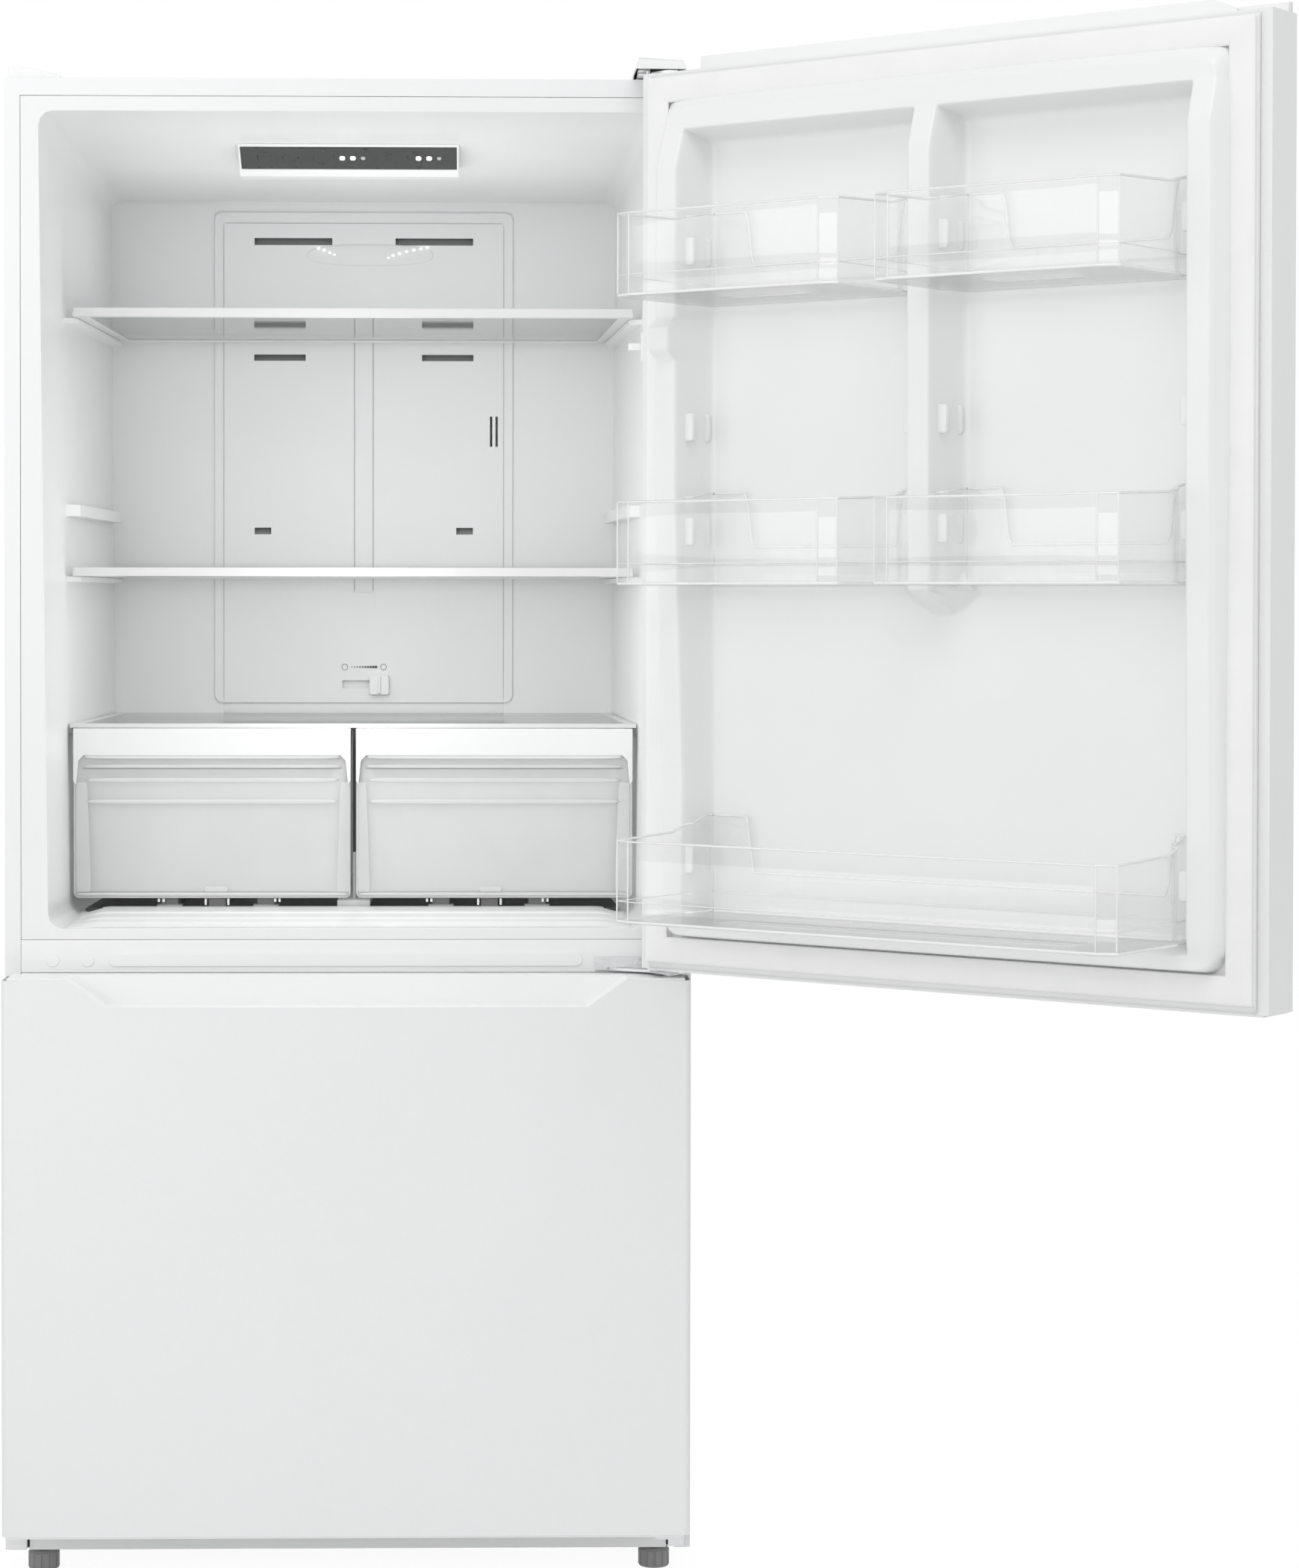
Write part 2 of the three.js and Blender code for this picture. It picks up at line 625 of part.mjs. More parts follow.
function roller() {
  const profile = [
    [0, -11], [6, -11], [6, -9], [16.5, -9], [18, -7.5], [18, 7.5], [16.5, 9], [6, 9], [6, 11], [0, 11],
  ].map(([r, h]) => new THREE.Vector2(r, h));
  return solid(new THREE.LatheGeometry(profile, 20).rotateZ(Math.PI / 2));
}

// ---------------------------------------------------------------- machine room
function compressor() {
  const profile = [
    [0, 0],
    [62, 0],
    [82, 18],
    [88, 50],
    [88, 92],
    [80, 128],
    [55, 150],
    [0, 156],
  ].map(([r, h]) => new THREE.Vector2(r, h));
  const can = solid(new THREE.LatheGeometry(profile, 20).rotateX(Math.PI / 2));
  const plate = block([-105, 105], [-60, 60], [-8, 2]);
  const pipes = [-30, 0, 30].map((x) => rod(5, "z", 120, 190, [x, 40], 8));
  const box = block([84, 104], [-30, 30], [40, 110]);
  return moved(join(can, plate, ...pipes, box), -190, 560, 45);
}

function machineCover() {
  const half = HALF - SHEET - GAP;
  const sheet = block([-half, half], [DEPTH - 3, DEPTH - 1], [CABINET_BASE + 4, MACHINE.top + 1]);
  const slots = [];
  for (const x of [-230, -90, 90, 230])
    for (let row = 0; row < 6; row++)
      slots.push(block([x - 50, x + 50], [DEPTH - 4, DEPTH], [110 + row * 24, 118 + row * 24]));
  return cut(sheet, ...slots);
}

const CONDENSER_FAN = { x: 60, y: 560, z: 150 };

function fanShroud() {
  const { x, y, z } = CONDENSER_FAN;
  const bore = rod(74, "x", x - 30, x + 20, [y, z], 20);
  const wall = slab(roundedRect(y - 85, y + 85, z - 85, z + 85, 8), "x", x - 22, x - 18);
  const ring = rod(78, "x", x - 20, x + 14, [y, z], 20);
  const leg = block([x - 22, x + 14], [y - 60, y + 60], [CABINET_BASE + 2.4, z - 82]);
  const motor = rod(24, "x", x + 16, x + 50, [y, z], 12);
  const arms = [30, 150, 270].flatMap((angle) =>
    [block([16, 20], [20, 77], [-4, 4]), block([10, 20], [74.5, 77.5], [-4, 4])].map((arm) =>
      moved(arm.rotate([angle, 0, 0]), x, y, z),
    ),
  );
  return join(cut(join(wall, ring, leg), bore), motor, ...arms);
}

// A fan wheel on the X axis: a hub and pitched blades.
function fanWheel(radius, blades, width) {
  const hub = rod(radius * 0.3, "x", -width / 2, width / 2, [0, 0], 12);
  const wings = [...Array(blades).keys()].map((i) => {
    const chord = radius * 0.16;
    const blade = block([-1.1, 1.1], [radius * 0.2, radius], [-chord, chord]);
    return blade.rotate([0, 32, 0]).rotate([(i * 360) / blades, 0, 0]);
  });
  return join(hub, ...wings);
}

function drainPan() {
  const pan = block([120, 296], [450, 660], [CABINET_BASE + 6, CABINET_BASE + 46]);
  return cut(pan, block([122.4, 293.6], [452.4, 657.6], [CABINET_BASE + 8.4, CABINET_BASE + 60]));
}

// ---------------------------------------------------------------- inside the freezer
const EVAPORATOR_FAN = { x: 0, y: 547, z: 600 };

function freezerBackPanel() {
  const half = 312;
  const fan = [EVAPORATOR_FAN.x, EVAPORATOR_FAN.z];
  const panel = block([-half, half], [528, 531], [352, 662]);
  const mouth = rod(52, "y", 520, 540, fan, 20);
  const bars = [-26, 0, 26].map((x) => block([x - 2, x + 2], [528, 531], [548, 652]));
  const ring = cut(rod(57, "y", 528, 560, fan, 20), rod(54, "y", 520, 570, fan, 20));
  const grille = [...Array(8).keys()].map((i) =>
    block([-200 + i * 54, -178 + i * 54], [520, 540], [366, 372]),
  );
  return join(cut(panel, mouth, ...grille), ...bars, ring);
}

function evaporator() {
  const fins = [...Array(13).keys()].map((i) =>
    block([-252 + i * 42, -250.8 + i * 42], [538, 580], [372, 520]),
  );
  const pass = (y, z) => block([-262, 262], [y - 4, y + 4], [z - 4, z + 4]);
  const passes = [392, 446, 500].flatMap((z) => [pass(549, z), pass(569, z)]);
  const header = (x) => block([x, x + 8], [545, 573], [388, 504]);
  return join(...fins, ...passes, header(-262), header(254));
}

function freezerDrawer(width, front, back, low, high) {
  const half = width / 2;
  const bottom = (i) => sectionAt(low + i, -half + 12 + i, half - 12 - i, front + i, back - 14 - i, 16 - i);
  const top = (i, z) => sectionAt(z, -half + i, half - i, front + i, back - i, 16 - i);
  const tub = cut(loft(bottom(0), top(0, high)), loft(bottom(2.6), top(2.6, high + 0.5)));
  const rim = cut(
    slab(outline(...top(0, high).map(([x, y]) => [x, y])), "z", high - 3, high),
    loft(top(2.6, low), top(2.6, high + 5)),
  );
  const grip = cut(
    block([-90, 90], [front - 14, front + 1], [high - 26, high]),
    block([-86, 86], [front - 10, front - 2], [high - 40, high - 4]),
  );
  return join(tub, rim, grip);
}

// ---------------------------------------------------------------- doors
// A folded steel pan, open to the back, between two heights.
function doorPan(low, high) {
  const plan = (wall, back) =>
    roundedRect(-DOOR_HALF + wall, DOOR_HALF - wall, DOOR_FRONT + wall, back, wall ? 6 : 7);
  const outer = slab(plan(0, DOOR_BACK + 7), "z", low, high).intersect(
    block([-500, 500], [-500, DOOR_BACK], [0, 2000]),
  );
  const inner = slab(plan(SHEET, DOOR_BACK + 60), "z", low - 1, high + 1);
  const hems = [-1, 1].map((s) => {
    const x = s * (DOOR_HALF - 9);
    return block([x - 9, x + 9], [DOOR_BACK - SHEET, DOOR_BACK], [low, high]);
  });
  return join(cut(outer, inner), ...hems);
}

// The finger pocket: a trapezoid in the front view, grown by a wall.
function pocket(edge, direction, wall, from, to) {
  const { top, bottom, depth } = POCKET;
  const shape = outline(
    [-top - wall, edge + direction * 20],
    [-top - wall, edge],
    [-bottom - wall * 0.5, edge - direction * (depth + wall)],
    [bottom + wall * 0.5, edge - direction * (depth + wall)],
    [top + wall, edge],
    [top + wall, edge + direction * 20],
  );
  return slab(shape, "y", from, to);
}

const CAP = 22; // depth of the plastic end caps inside the steel pan

const cap = {
  half: DOOR_HALF - SHEET - GAP - 5,
  front: DOOR_FRONT + SHEET + GAP,
  back: DOOR_BACK - SHEET - GAP,
};

// An end cap closes the steel pan; `edge` is the door's end and `up` is +1 at its top.
function endCap(edge, up) {
  const inside = edge - up * CAP;
  const bar = block([-cap.half, cap.half], [cap.front, cap.back], [inside, edge].sort((a, b) => a - b));
  const core = block(
    [-cap.half + 4, cap.half - 42],
    [cap.front + 4, cap.back - 4],
    [inside - up, edge - up * 3].sort((a, b) => a - b),
  );
  const bush = rod(5 + GAP, "z", edge - CAP - 2, edge + CAP + 2, [HINGE.x, HINGE.y]);
  return cut(bar, core, bush);
}

// The same with a moulded finger pocket behind the notch in the steel front.
function pocketCap(edge, up) {
  const reach = cap.back - 14;
  const shell = pocket(edge, up, 3, cap.front, reach).intersect(
    block([-400, 400], [-200, 100], [edge - 60, edge].map((z) => (up > 0 ? z : z + 60))),
  );
  return cut(join(endCap(edge, up), shell), pocket(edge, up, 0, DOOR_FRONT - 1, reach - 3));
}

const STRIP = { hinge: 326, free: -317, bevel: -292, top: 1675, lip: 1668 };

function fridgeDoorSkin() {
  const { low, high } = FRIDGE_DOOR;
  const lip = block([-DOOR_HALF + 7, STRIP.hinge], [DOOR_FRONT, DOOR_FRONT + SHEET], [high - 1, STRIP.lip]);
  return cut(join(doorPan(low + 2, high), lip), pocket(low, -1, 0, DOOR_FRONT - 1, DOOR_FRONT + 3));
}

// The top cap carries a raised strip along the front, bevelled at its free end.
function fridgeDoorTopCap() {
  const { high } = FRIDGE_DOOR;
  const { hinge, free, bevel, top, lip } = STRIP;
  const band = block([-DOOR_HALF + 8, hinge], [cap.front, cap.front + 6], [high - 8, lip - 1]);
  const strip = slab(
    outline([free, high - 1], [free, lip - 4], [bevel, top], [hinge, top], [hinge, high - 1]),
    "y",
    cap.front + 2,
    cap.front + 18,
  );
  return join(endCap(high, 1), band, strip);
}

function fridgeDoorBottomCap() {
  return pocketCap(FRIDGE_DOOR.low, -1);
}

function freezerDoorSkin() {
  const { low, high } = FREEZER_DOOR;
  return cut(doorPan(low + 2, high - 2), pocket(high, 1, 0, DOOR_FRONT - 1, DOOR_FRONT + 3));
}

const doorDepth = (v) => DOOR_FRONT + v; // a depth behind the door's front face

// The dyke round a door liner, in the front view: straight sides that flare at the top.
function dykeOutline({ low, high }, inset) {
  const h = DYKE.half - inset;
  const [b, t] = [low + inset, high - inset];
  return outline(
    [-h + 14, b],
    [h - 14, b],
    [h, b + 14],
    [h, t - 50],
    [h + 13, t - 14],
    [h + 5, t],
    [-h - 5, t],
    [-h - 13, t - 14],
    [-h, t - 50],
    [-h, b + 14],
  );
}

// A recess between the dykes, narrower at its floor; `grow` thickens it into its own mould.
function recess(x0, x1, z0, z1, grow) {
  const ring = (v, g) => {
    const [l, r, b, t, c] = [x0 - g, x1 + g, z0 - g, z1 + g, 7];
    const right = [[r - c, b], [r, b + c], [r, t - c], [r - c, t]];
    const left = [[l + c, t], [l, t - c], [l, b + c], [l + c, b]];
    return [...right, ...left].map(([x, z]) => [x, doorDepth(v), z]);
  };
  const past = grow > 0 ? 0 : 1;
  return loft(ring(DYKE.floor - grow, grow - DYKE.draft), ring(DYKE.crest + past, grow));
}

// Liner of a door: flange, hollow dyke and the moulds of its recesses.
function doorLiner(ends, recesses, flange) {
  const edge = DOOR_HALF - 12;
  const back = DOOR_BACK + GAP;
  const plate = block([-edge, edge], [back, back + LINER], flange);
  const dyke = slab(dykeOutline(ends, 0), "y", back, doorDepth(DYKE.crest));
  const hollow = slab(dykeOutline(ends, LINER), "y", back - 30, doorDepth(DYKE.crest) - LINER);
  const moulds = recesses.map((r) => recess(...r, LINER));
  const spaces = recesses.map((r) => recess(...r, 0));
  return cut(join(cut(join(plate, dyke), hollow), ...moulds), ...spaces);
}

const LUG = { reach: 11, width: 7, height: 30, at: [48, 77] };

// Pairs of small upright lugs that stand on a recess wall; the bins hook over them.
function lugs(x, toward, top) {
  return LUG.at.map((v) => {
    const ends = [x, x + toward * LUG.reach].sort((a, b) => a - b);
    return block(ends, [doorDepth(v), doorDepth(v + LUG.width)], [top - LUG.height, top]);
  });
}

function fridgeDoorLiner() {
  const { low, high } = FRIDGE_DOOR;
  const inner = DYKE.half - DYKE.width;
  const [floor, ceiling] = [FRIDGE_DYKE.low + 12, FRIDGE_DYKE.high - 15];
  const shell = doorLiner(
    FRIDGE_DYKE,
    [
      [-inner, -RIB.half, floor, ceiling],
      [RIB.half, inner, floor, ceiling],
      [-inner, inner, floor, RIB.low],
    ],
    [low + 4, high - 4],
  );
  const crest = [doorDepth(DYKE.crest) - LINER, doorDepth(RIB.crest)];
  const rib = block([-RIB.half, RIB.half], crest, [RIB.low, ceiling + 2]);
  const bow = (v, across) =>
    [...across, ...across.map(([x, z]) => [-x, z]).reverse()].map(([x, z]) => [x, doorDepth(v), z]);
  const chevron = loft(
    bow(DYKE.floor - 1, [
      [14, RIB.low + 60],
      [14, RIB.low],
      [RIB.spread, RIB.low - 5],
      [13, RIB.tip + 1],
      [6, RIB.tip - 2],
    ]),
    bow(DYKE.crest, [
      [RIB.half, RIB.low + 60],
      [RIB.half, RIB.low + 10],
      [RIB.half, RIB.low + 4],
      [RIB.half - 1, RIB.low],
      [5, RIB.low - 1],
    ]),
  );
  const bump = block([DYKE.half - 4, DYKE.half + 14], [doorDepth(64), doorDepth(DYKE.crest)], [1340, 1383]);
  const upper = [BIN_FLOORS.upper + 74, 1282, BIN_FLOORS.middle + 74].flatMap((z) => [
    ...lugs(inner, -1, z),
    ...lugs(-inner, 1, z),
    ...lugs(RIB.half, 1, z),
    ...lugs(-RIB.half, -1, z),
  ]);
  const shelfHeight = BIN_FLOORS.lower + 74;
  const lower = [...lugs(inner, -1, shelfHeight), ...lugs(-inner, 1, shelfHeight)];
  return join(shell, rib, chevron, bump, ...upper, ...lower);
}

function freezerDoorLiner() {
  const { low, high } = FREEZER_DOOR;
  const inner = DYKE.half - DYKE.width;
  const shape = [-inner, inner, FREEZER_DYKE.low + 14, FREEZER_DYKE.high - 70];
  return doorLiner({ low: FREEZER_DYKE.low, high: FREEZER_DYKE.high - 20 }, [shape], [low + 4, high - 4]);
}

// A magnetic door seal: three stacked frames make the folded bellows.
function gasket(outer, inner) {
  const frame = ([x, low, high], by) =>
    outline([-x + by, low + by], [x - by, low + by], [x - by, high - by], [-x + by, high - by]);
  const ring = (by, from, to) =>
    cut(slab(frame(outer, by), "y", from, to), slab(frame(inner, -by), "y", from - 1, to + 1));
  const foot = DOOR_BACK + LINER + 2 * GAP;
  return join(ring(0, foot, foot + 3), ring(5, foot + 2.5, foot + 7), ring(1, foot + 6.5, -1.9));
}

// ---------------------------------------------------------------- door bins
// One clear bin from its floor up. It is narrower between the dykes, where it hooks over the
// lugs. Its wall next to the door rises to a hump at each end with a wide cut-out between, its
// ends fall towards the front, and its front corners are bevelled.
function doorBin(x0, x1, heights, humps) {
  const { front, tall, cutout } = heights;
  const [near, neck, far] = [doorDepth(BIN.back), doorDepth(BIN.shoulder), doorDepth(BIN.front)];
  const { wide, deep } = BIN_FACET;
  const plan = (i) =>
    outline(
      [x0 + 7 + i, near + i],
      [x1 - 7 - i, near + i],
      [x1 - 7 - i, neck + i],
      [x1 - i, neck + i],
      [x1 - i, far - deep - i * 0.6],
      [x1 - wide - i * 0.2, far - i],
      [x0 + wide + i * 0.2, far - i],
      [x0 + i, far - deep - i * 0.6],
      [x0 + i, neck + i],
      [x0 + 7 + i, neck + i],
    );
  const shell = cut(slab(plan(0), "z", 0, tall), slab(plan(BIN.wall), "z", BIN.wall, tall + 1));
  const slope = outline(
    [near + 12, tall + 1],
    [near + 60, front + 4],
    [far + 2, front - 2],
    [far + 2, tall + 1],
  );
  const opening = outline(
    [x0 + 7 + humps[0], tall + 1],
    [x0 + 14 + humps[0], cutout],
    [x1 - 14 - humps[1], cutout],
    [x1 - 7 - humps[1], tall + 1],
  );
  const rail = slab(
    outline([far - BIN.wall, front - 4], [far + 1.2, front - 4], [far + 1.2, front], [far - BIN.wall, front]),
    "x",
    x0 + wide,
    x1 - wide,
  );
  const above = slab(slope, "x", x0 - 1, x1 + 1);
  const gap = slab(opening, "y", near - 1, near + BIN.wall + 2);
  return join(cut(shell, above, gap), rail);
}

// ---------------------------------------------------------------- assembly
place(refrigerator, "cabinet_wrapper", cabinetWrapper(), WHITE_STEEL);
place(refrigerator, "cabinet_back", cabinetBack(), WHITE_STEEL);
place(refrigerator, "cabinet_foam", cabinetFoam(), FOAM);
place(refrigerator, "base_rail", baseRail(), WHITE_STEEL);
place(refrigerator, "mid_rail", midRail(), WHITE_STEEL);
place(refrigerator, "fridge_liner", fridgeLiner(), LINER_PLASTIC);
place(refrigerator, "freezer_liner", freezerLiner(), LINER_PLASTIC);

place(refrigerator, "air_tower", airTower(), LINER_PLASTIC);
place(refrigerator, "light_lens", lightLens(), CLEAR_PLASTIC);
place(refrigerator, "temperature_knob", temperatureKnob(), WHITE_PLASTIC);
place(refrigerator, "control_housing", controlHousing(), WHITE_PLASTIC);
place(refrigerator, "control_panel", controlPanel(), PANEL_GREY);
place(refrigerator, "light_switch_plate", lightSwitchPlate(), WHITE_PLASTIC);
place(refrigerator, "light_switch_lever", lightSwitchLever(), WHITE_PLASTIC);

for (const [level, top] of Object.entries(SHELF_TOPS)) {
  place(refrigerator, `shelf_${level}_frame`, shelfFrame(top), WHITE_PLASTIC);
  place(refrigerator, `shelf_${level}_glass`, shelfGlass(top), CLEAR_GLASS);
}
place(refrigerator, "crisper_cover_frame", crisperCoverFrame(), WHITE_PLASTIC);
place(refrigerator, "crisper_cover_glass", crisperCoverGlass(), CLEAR_GLASS);
place(refrigerator, "crisper_base", crisperBase(), GREY_PLASTIC);
place(refrigerator, "crisper_right_tub", crisperTub(), CLEAR_PLASTIC);
place(refrigerator, "crisper_right_front", crisperFront(), WHITE_PLASTIC);
place(refrigerator, "crisper_left_tub", mirrored(crisperTub()), CLEAR_PLASTIC);
place(refrigerator, "crisper_left_front", mirrored(crisperFront()), WHITE_PLASTIC);

place(refrigerator, "top_hinge", topHinge(), ZINC_STEEL);
place(refrigerator, "top_hinge_cover", topHingeCover(), WHITE_PLASTIC);
place(refrigerator, "top_hinge_blank", topHingeBlank(), WHITE_PLASTIC);
place(refrigerator, "mid_hinge", midHinge(), ZINC_STEEL);
place(refrigerator, "bottom_hinge", bottomHinge(), ZINC_STEEL);
place(refrigerator, "bottom_hinge_blank", bottomHingeBlank(), WHITE_PLASTIC);

for (const [name, side] of [["left", -1], ["right", 1]]) {
  place(refrigerator, `foot_${name}`, foot(), GREY_PLASTIC, [side * FOOT.x, FOOT.y, 0]);
  place(refrigerator, `roller_${name}`, roller(), DARK_PLASTIC, [side * ROLLER.x, ROLLER.y, ROLLER.radius]);
}

place(refrigerator, "compressor", compressor(), BLACK_STEEL);
place(refrigerator, "machine_cover", machineCover(), WHITE_STEEL);
place(refrigerator, "fan_shroud", fanShroud(), DARK_PLASTIC);
const condenserAt = [CONDENSER_FAN.x, CONDENSER_FAN.y, CONDENSER_FAN.z];
place(refrigerator, "condenser_fan", fanWheel(70, 5, 22), DARK_PLASTIC, condenserAt);
place(refrigerator, "drain_pan", drainPan(), DARK_PLASTIC);

place(refrigerator, "freezer_back_panel", freezerBackPanel(), LINER_PLASTIC);
place(refrigerator, "evaporator", evaporator(), ALUMINIUM);
const evaporatorAt = [EVAPORATOR_FAN.x, EVAPORATOR_FAN.y, EVAPORATOR_FAN.z];
place(refrigerator, "evaporator_fan", fanWheel(49, 5, 18), DARK_PLASTIC, evaporatorAt).rotateZ(Math.PI / 2);
place(refrigerator, "freezer_drawer_upper", freezerDrawer(608, 40, 505, 412, 600), CLEAR_PLASTIC);
place(refrigerator, "freezer_drawer_lower", freezerDrawer(608, 40, 360, 102, 392), CLEAR_PLASTIC);


place(freezerDoor, "freezer_door_skin", freezerDoorSkin(), PEBBLED_STEEL);
place(freezerDoor, "freezer_door_liner", freezerDoorLiner(), LINER_PLASTIC);
place(freezerDoor, "freezer_door_gasket", gasket([360, 66, 664.5], [333, 96, 640]), GASKET_VINYL);
place(freezerDoor, "freezer_door_top_cap", pocketCap(FREEZER_DOOR.high, 1), WHITE_PLASTIC);
place(freezerDoor, "freezer_door_bottom_cap", endCap(FREEZER_DOOR.low, -1), WHITE_PLASTIC);

place(fridgeDoor, "fridge_door_skin", fridgeDoorSkin(), PEBBLED_STEEL);
place(fridgeDoor, "fridge_door_liner", fridgeDoorLiner(), LINER_PLASTIC);
place(fridgeDoor, "fridge_door_gasket", gasket([360, 687.5, 1648], [333, 714, 1620]), GASKET_VINYL);
place(fridgeDoor, "fridge_door_top_cap", fridgeDoorTopCap(), WHITE_PLASTIC);
place(fridgeDoor, "fridge_door_bottom_cap", fridgeDoorBottomCap(), WHITE_PLASTIC);

const SHORT_BIN = { front: 88, tall: 101, cutout: 43 };
const LONG_BIN = { front: 87, tall: 107, cutout: 47 };
for (const level of ["upper", "middle"]) {
  const bin = doorBin(BIN.inner, BIN.outer, SHORT_BIN, [18, 46]);
  const other = doorBin(-BIN.outer, -BIN.inner, SHORT_BIN, [18, 46]);
  place(fridgeDoor, `door_bin_${level}_hinge`, bin, CLEAR_PLASTIC, [0, 0, BIN_FLOORS[level]]);
  place(fridgeDoor, `door_bin_${level}_free`, other, CLEAR_PLASTIC, [0, 0, BIN_FLOORS[level]]);
}
const longBin = doorBin(-BIN.outer, BIN.outer, LONG_BIN, [19, 64]);
place(fridgeDoor, "door_bin_bottom", longBin, CLEAR_PLASTIC, [0, 0, BIN_FLOORS.lower]);

// The fridge door stands open: it turns about its pins.
const hinge = new THREE.Vector3(HINGE.x, HINGE.y, 0);
const turn = THREE.MathUtils.degToRad(FRIDGE_DOOR_OPEN);
fridgeDoor.rotation.z = turn;
fridgeDoor.position.copy(hinge).sub(hinge.clone().applyAxisAngle(new THREE.Vector3(0, 0, 1), turn));

// The middle of the footprint becomes the origin.
refrigerator.updateMatrixWorld(true);
const footprint = new THREE.Box3().setFromObject(refrigerator, true);
const middle = footprint.getCenter(new THREE.Vector3());
refrigerator.position.set(-middle.x, -middle.y, -footprint.min.z);

export default refrigerator;
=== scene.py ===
"""Looks of an upright bottom freezer refrigerator with its fridge door open.

The file is laid out as a Blender add-on. Lengths in the code are millimetres in the drawing frame
of the cabinet: X from its middle, Y back from the front of its steel flange, Z up from the floor.
Pieces of the open door are worked out as if it were closed and are then turned about its pins.
"""

import json
import math

import bmesh
import bpy
import numpy as np
from bpy.props import FloatProperty, FloatVectorProperty, IntProperty, PointerProperty
from mathutils import Matrix, Vector

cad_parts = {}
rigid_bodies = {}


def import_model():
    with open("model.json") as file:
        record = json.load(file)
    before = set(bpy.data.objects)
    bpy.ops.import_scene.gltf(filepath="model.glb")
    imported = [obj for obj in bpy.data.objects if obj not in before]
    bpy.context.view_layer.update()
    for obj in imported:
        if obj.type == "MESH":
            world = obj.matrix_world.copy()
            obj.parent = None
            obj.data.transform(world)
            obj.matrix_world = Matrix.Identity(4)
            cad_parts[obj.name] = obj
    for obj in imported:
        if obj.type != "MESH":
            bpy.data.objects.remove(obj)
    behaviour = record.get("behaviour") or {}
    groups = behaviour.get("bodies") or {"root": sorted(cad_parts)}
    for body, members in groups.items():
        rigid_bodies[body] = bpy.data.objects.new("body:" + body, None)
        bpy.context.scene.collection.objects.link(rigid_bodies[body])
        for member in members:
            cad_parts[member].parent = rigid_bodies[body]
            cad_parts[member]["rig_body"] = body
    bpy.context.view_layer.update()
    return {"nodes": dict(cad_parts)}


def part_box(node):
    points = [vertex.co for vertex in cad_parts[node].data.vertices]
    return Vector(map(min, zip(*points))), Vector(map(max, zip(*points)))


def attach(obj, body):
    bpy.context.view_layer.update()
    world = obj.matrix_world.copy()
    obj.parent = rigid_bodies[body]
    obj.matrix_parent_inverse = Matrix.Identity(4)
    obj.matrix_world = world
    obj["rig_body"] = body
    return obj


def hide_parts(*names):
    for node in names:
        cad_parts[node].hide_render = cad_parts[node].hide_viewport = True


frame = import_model()

bl_info = {
    "name": "Bottom freezer refrigerator",
    "version": (1, 0, 0),
    "blender": (4, 5, 0),
    "location": "3D View > Sidebar > Refrigerator",
    "description": "Dresses the refrigerator's solids with softened edges, moulded plastic and finishes",
    "category": "Object",
}

WRAPPER_LOW, WRAPPER_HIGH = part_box("cabinet_wrapper")
MIDDLE_X = (WRAPPER_LOW.x + WRAPPER_HIGH.x) / 2
CABINET_DEPTH = 0.690
FLANGE_Y = WRAPPER_HIGH.y - CABINET_DEPTH

# Doors: their pin, the front of a shut one, and how far the fridge door stands open.
PIN = (354.5, -40.0)
DOOR_FRONT = -73.0
DOOR_TURN = math.radians(141.4)

# Depths behind the fridge door's front: its liner's flange and floor, and the lugs for the bins.
DOOR_FLANGE, DOOR_FLOOR = 60.85, 44.0
LUG_DEPTHS = (48.0, 77.0)

# The recess between the dykes: half its width, its lower and upper end, and the centre rib's foot.
DYKE_INNER = 306.0
RECESS_LOW, RECESS_HIGH, RIB_FOOT = 731.0, 1590.0, 1093.0

# Depths along a bin's plan, the bevel of its front corners, and the height of its wall's step.
BIN = {"near": 51.0, "neck": 88.0, "far": 222.8, "slant": 8.0, "step": 23.0}

# The compartment: air tower, knob scale, back wall, shelves and the crispers' front plates.
TOWER_FRONT, TOWER_HALF, TOWER_TOP = 580.0, 177.0, 1557.0
SCALE_HEIGHT = 996.0
WALL_BACK = 611.0
SHELF_TOPS = {"upper": 1416.0, "lower": 1118.0}
CRISPER_FRONT = 167.7

FRAME_WIDTH, FRAME_HEIGHT = 1740, 2100


# ---------------------------------------------------------------- places


def in_room(points):
    """Drawing frame in millimetres to the row's frame in metres: scaled by a thousandth and shifted."""
    points = np.asarray(points, float)
    return points * 0.001 + np.array([MIDDLE_X, FLANGE_Y, 0.0])


def on_closed_door(points):
    """A door's own frame (x, depth behind its front, z) to the row's frame, for the shut freezer door."""
    points = np.asarray(points, float)
    return in_room(points + np.array([0.0, DOOR_FRONT, 0.0]))


def on_open_door(points):
    """The same for the open door: after the shift, X and Y turn by 141.4 degrees about the pin."""
    points = np.asarray(points, float) + np.array([0.0, DOOR_FRONT, 0.0])
    across = points[..., 0] - PIN[0]
    deep = points[..., 1] - PIN[1]
    turned = np.stack(
        [
            PIN[0] + across * math.cos(DOOR_TURN) - deep * math.sin(DOOR_TURN),
            PIN[1] + across * math.sin(DOOR_TURN) + deep * math.cos(DOOR_TURN),
            points[..., 2],
        ],
        -1,
    )
    return in_room(turned)


# ---------------------------------------------------------------- meshes


# Edges sharper than the first are rounded; faces flatter than the second are joined.
SHARP, FLAT = math.radians(32.0), math.radians(0.6)


def cells(rows, columns, wrap_rows=False, wrap_columns=False):
    """Quads between the neighbours of a grid of points, counted row by row; a wrapped side joins its
    last line to its first."""
    r = np.arange(rows if wrap_rows else rows - 1)[:, None]
    c = np.arange(columns if wrap_columns else columns - 1)[None, :]
    below, beside = (r + 1) % rows, (c + 1) % columns
    corners = [r * columns + c, r * columns + beside, below * columns + beside, below * columns + c]
    return np.stack(corners, -1).reshape(-1, 4)


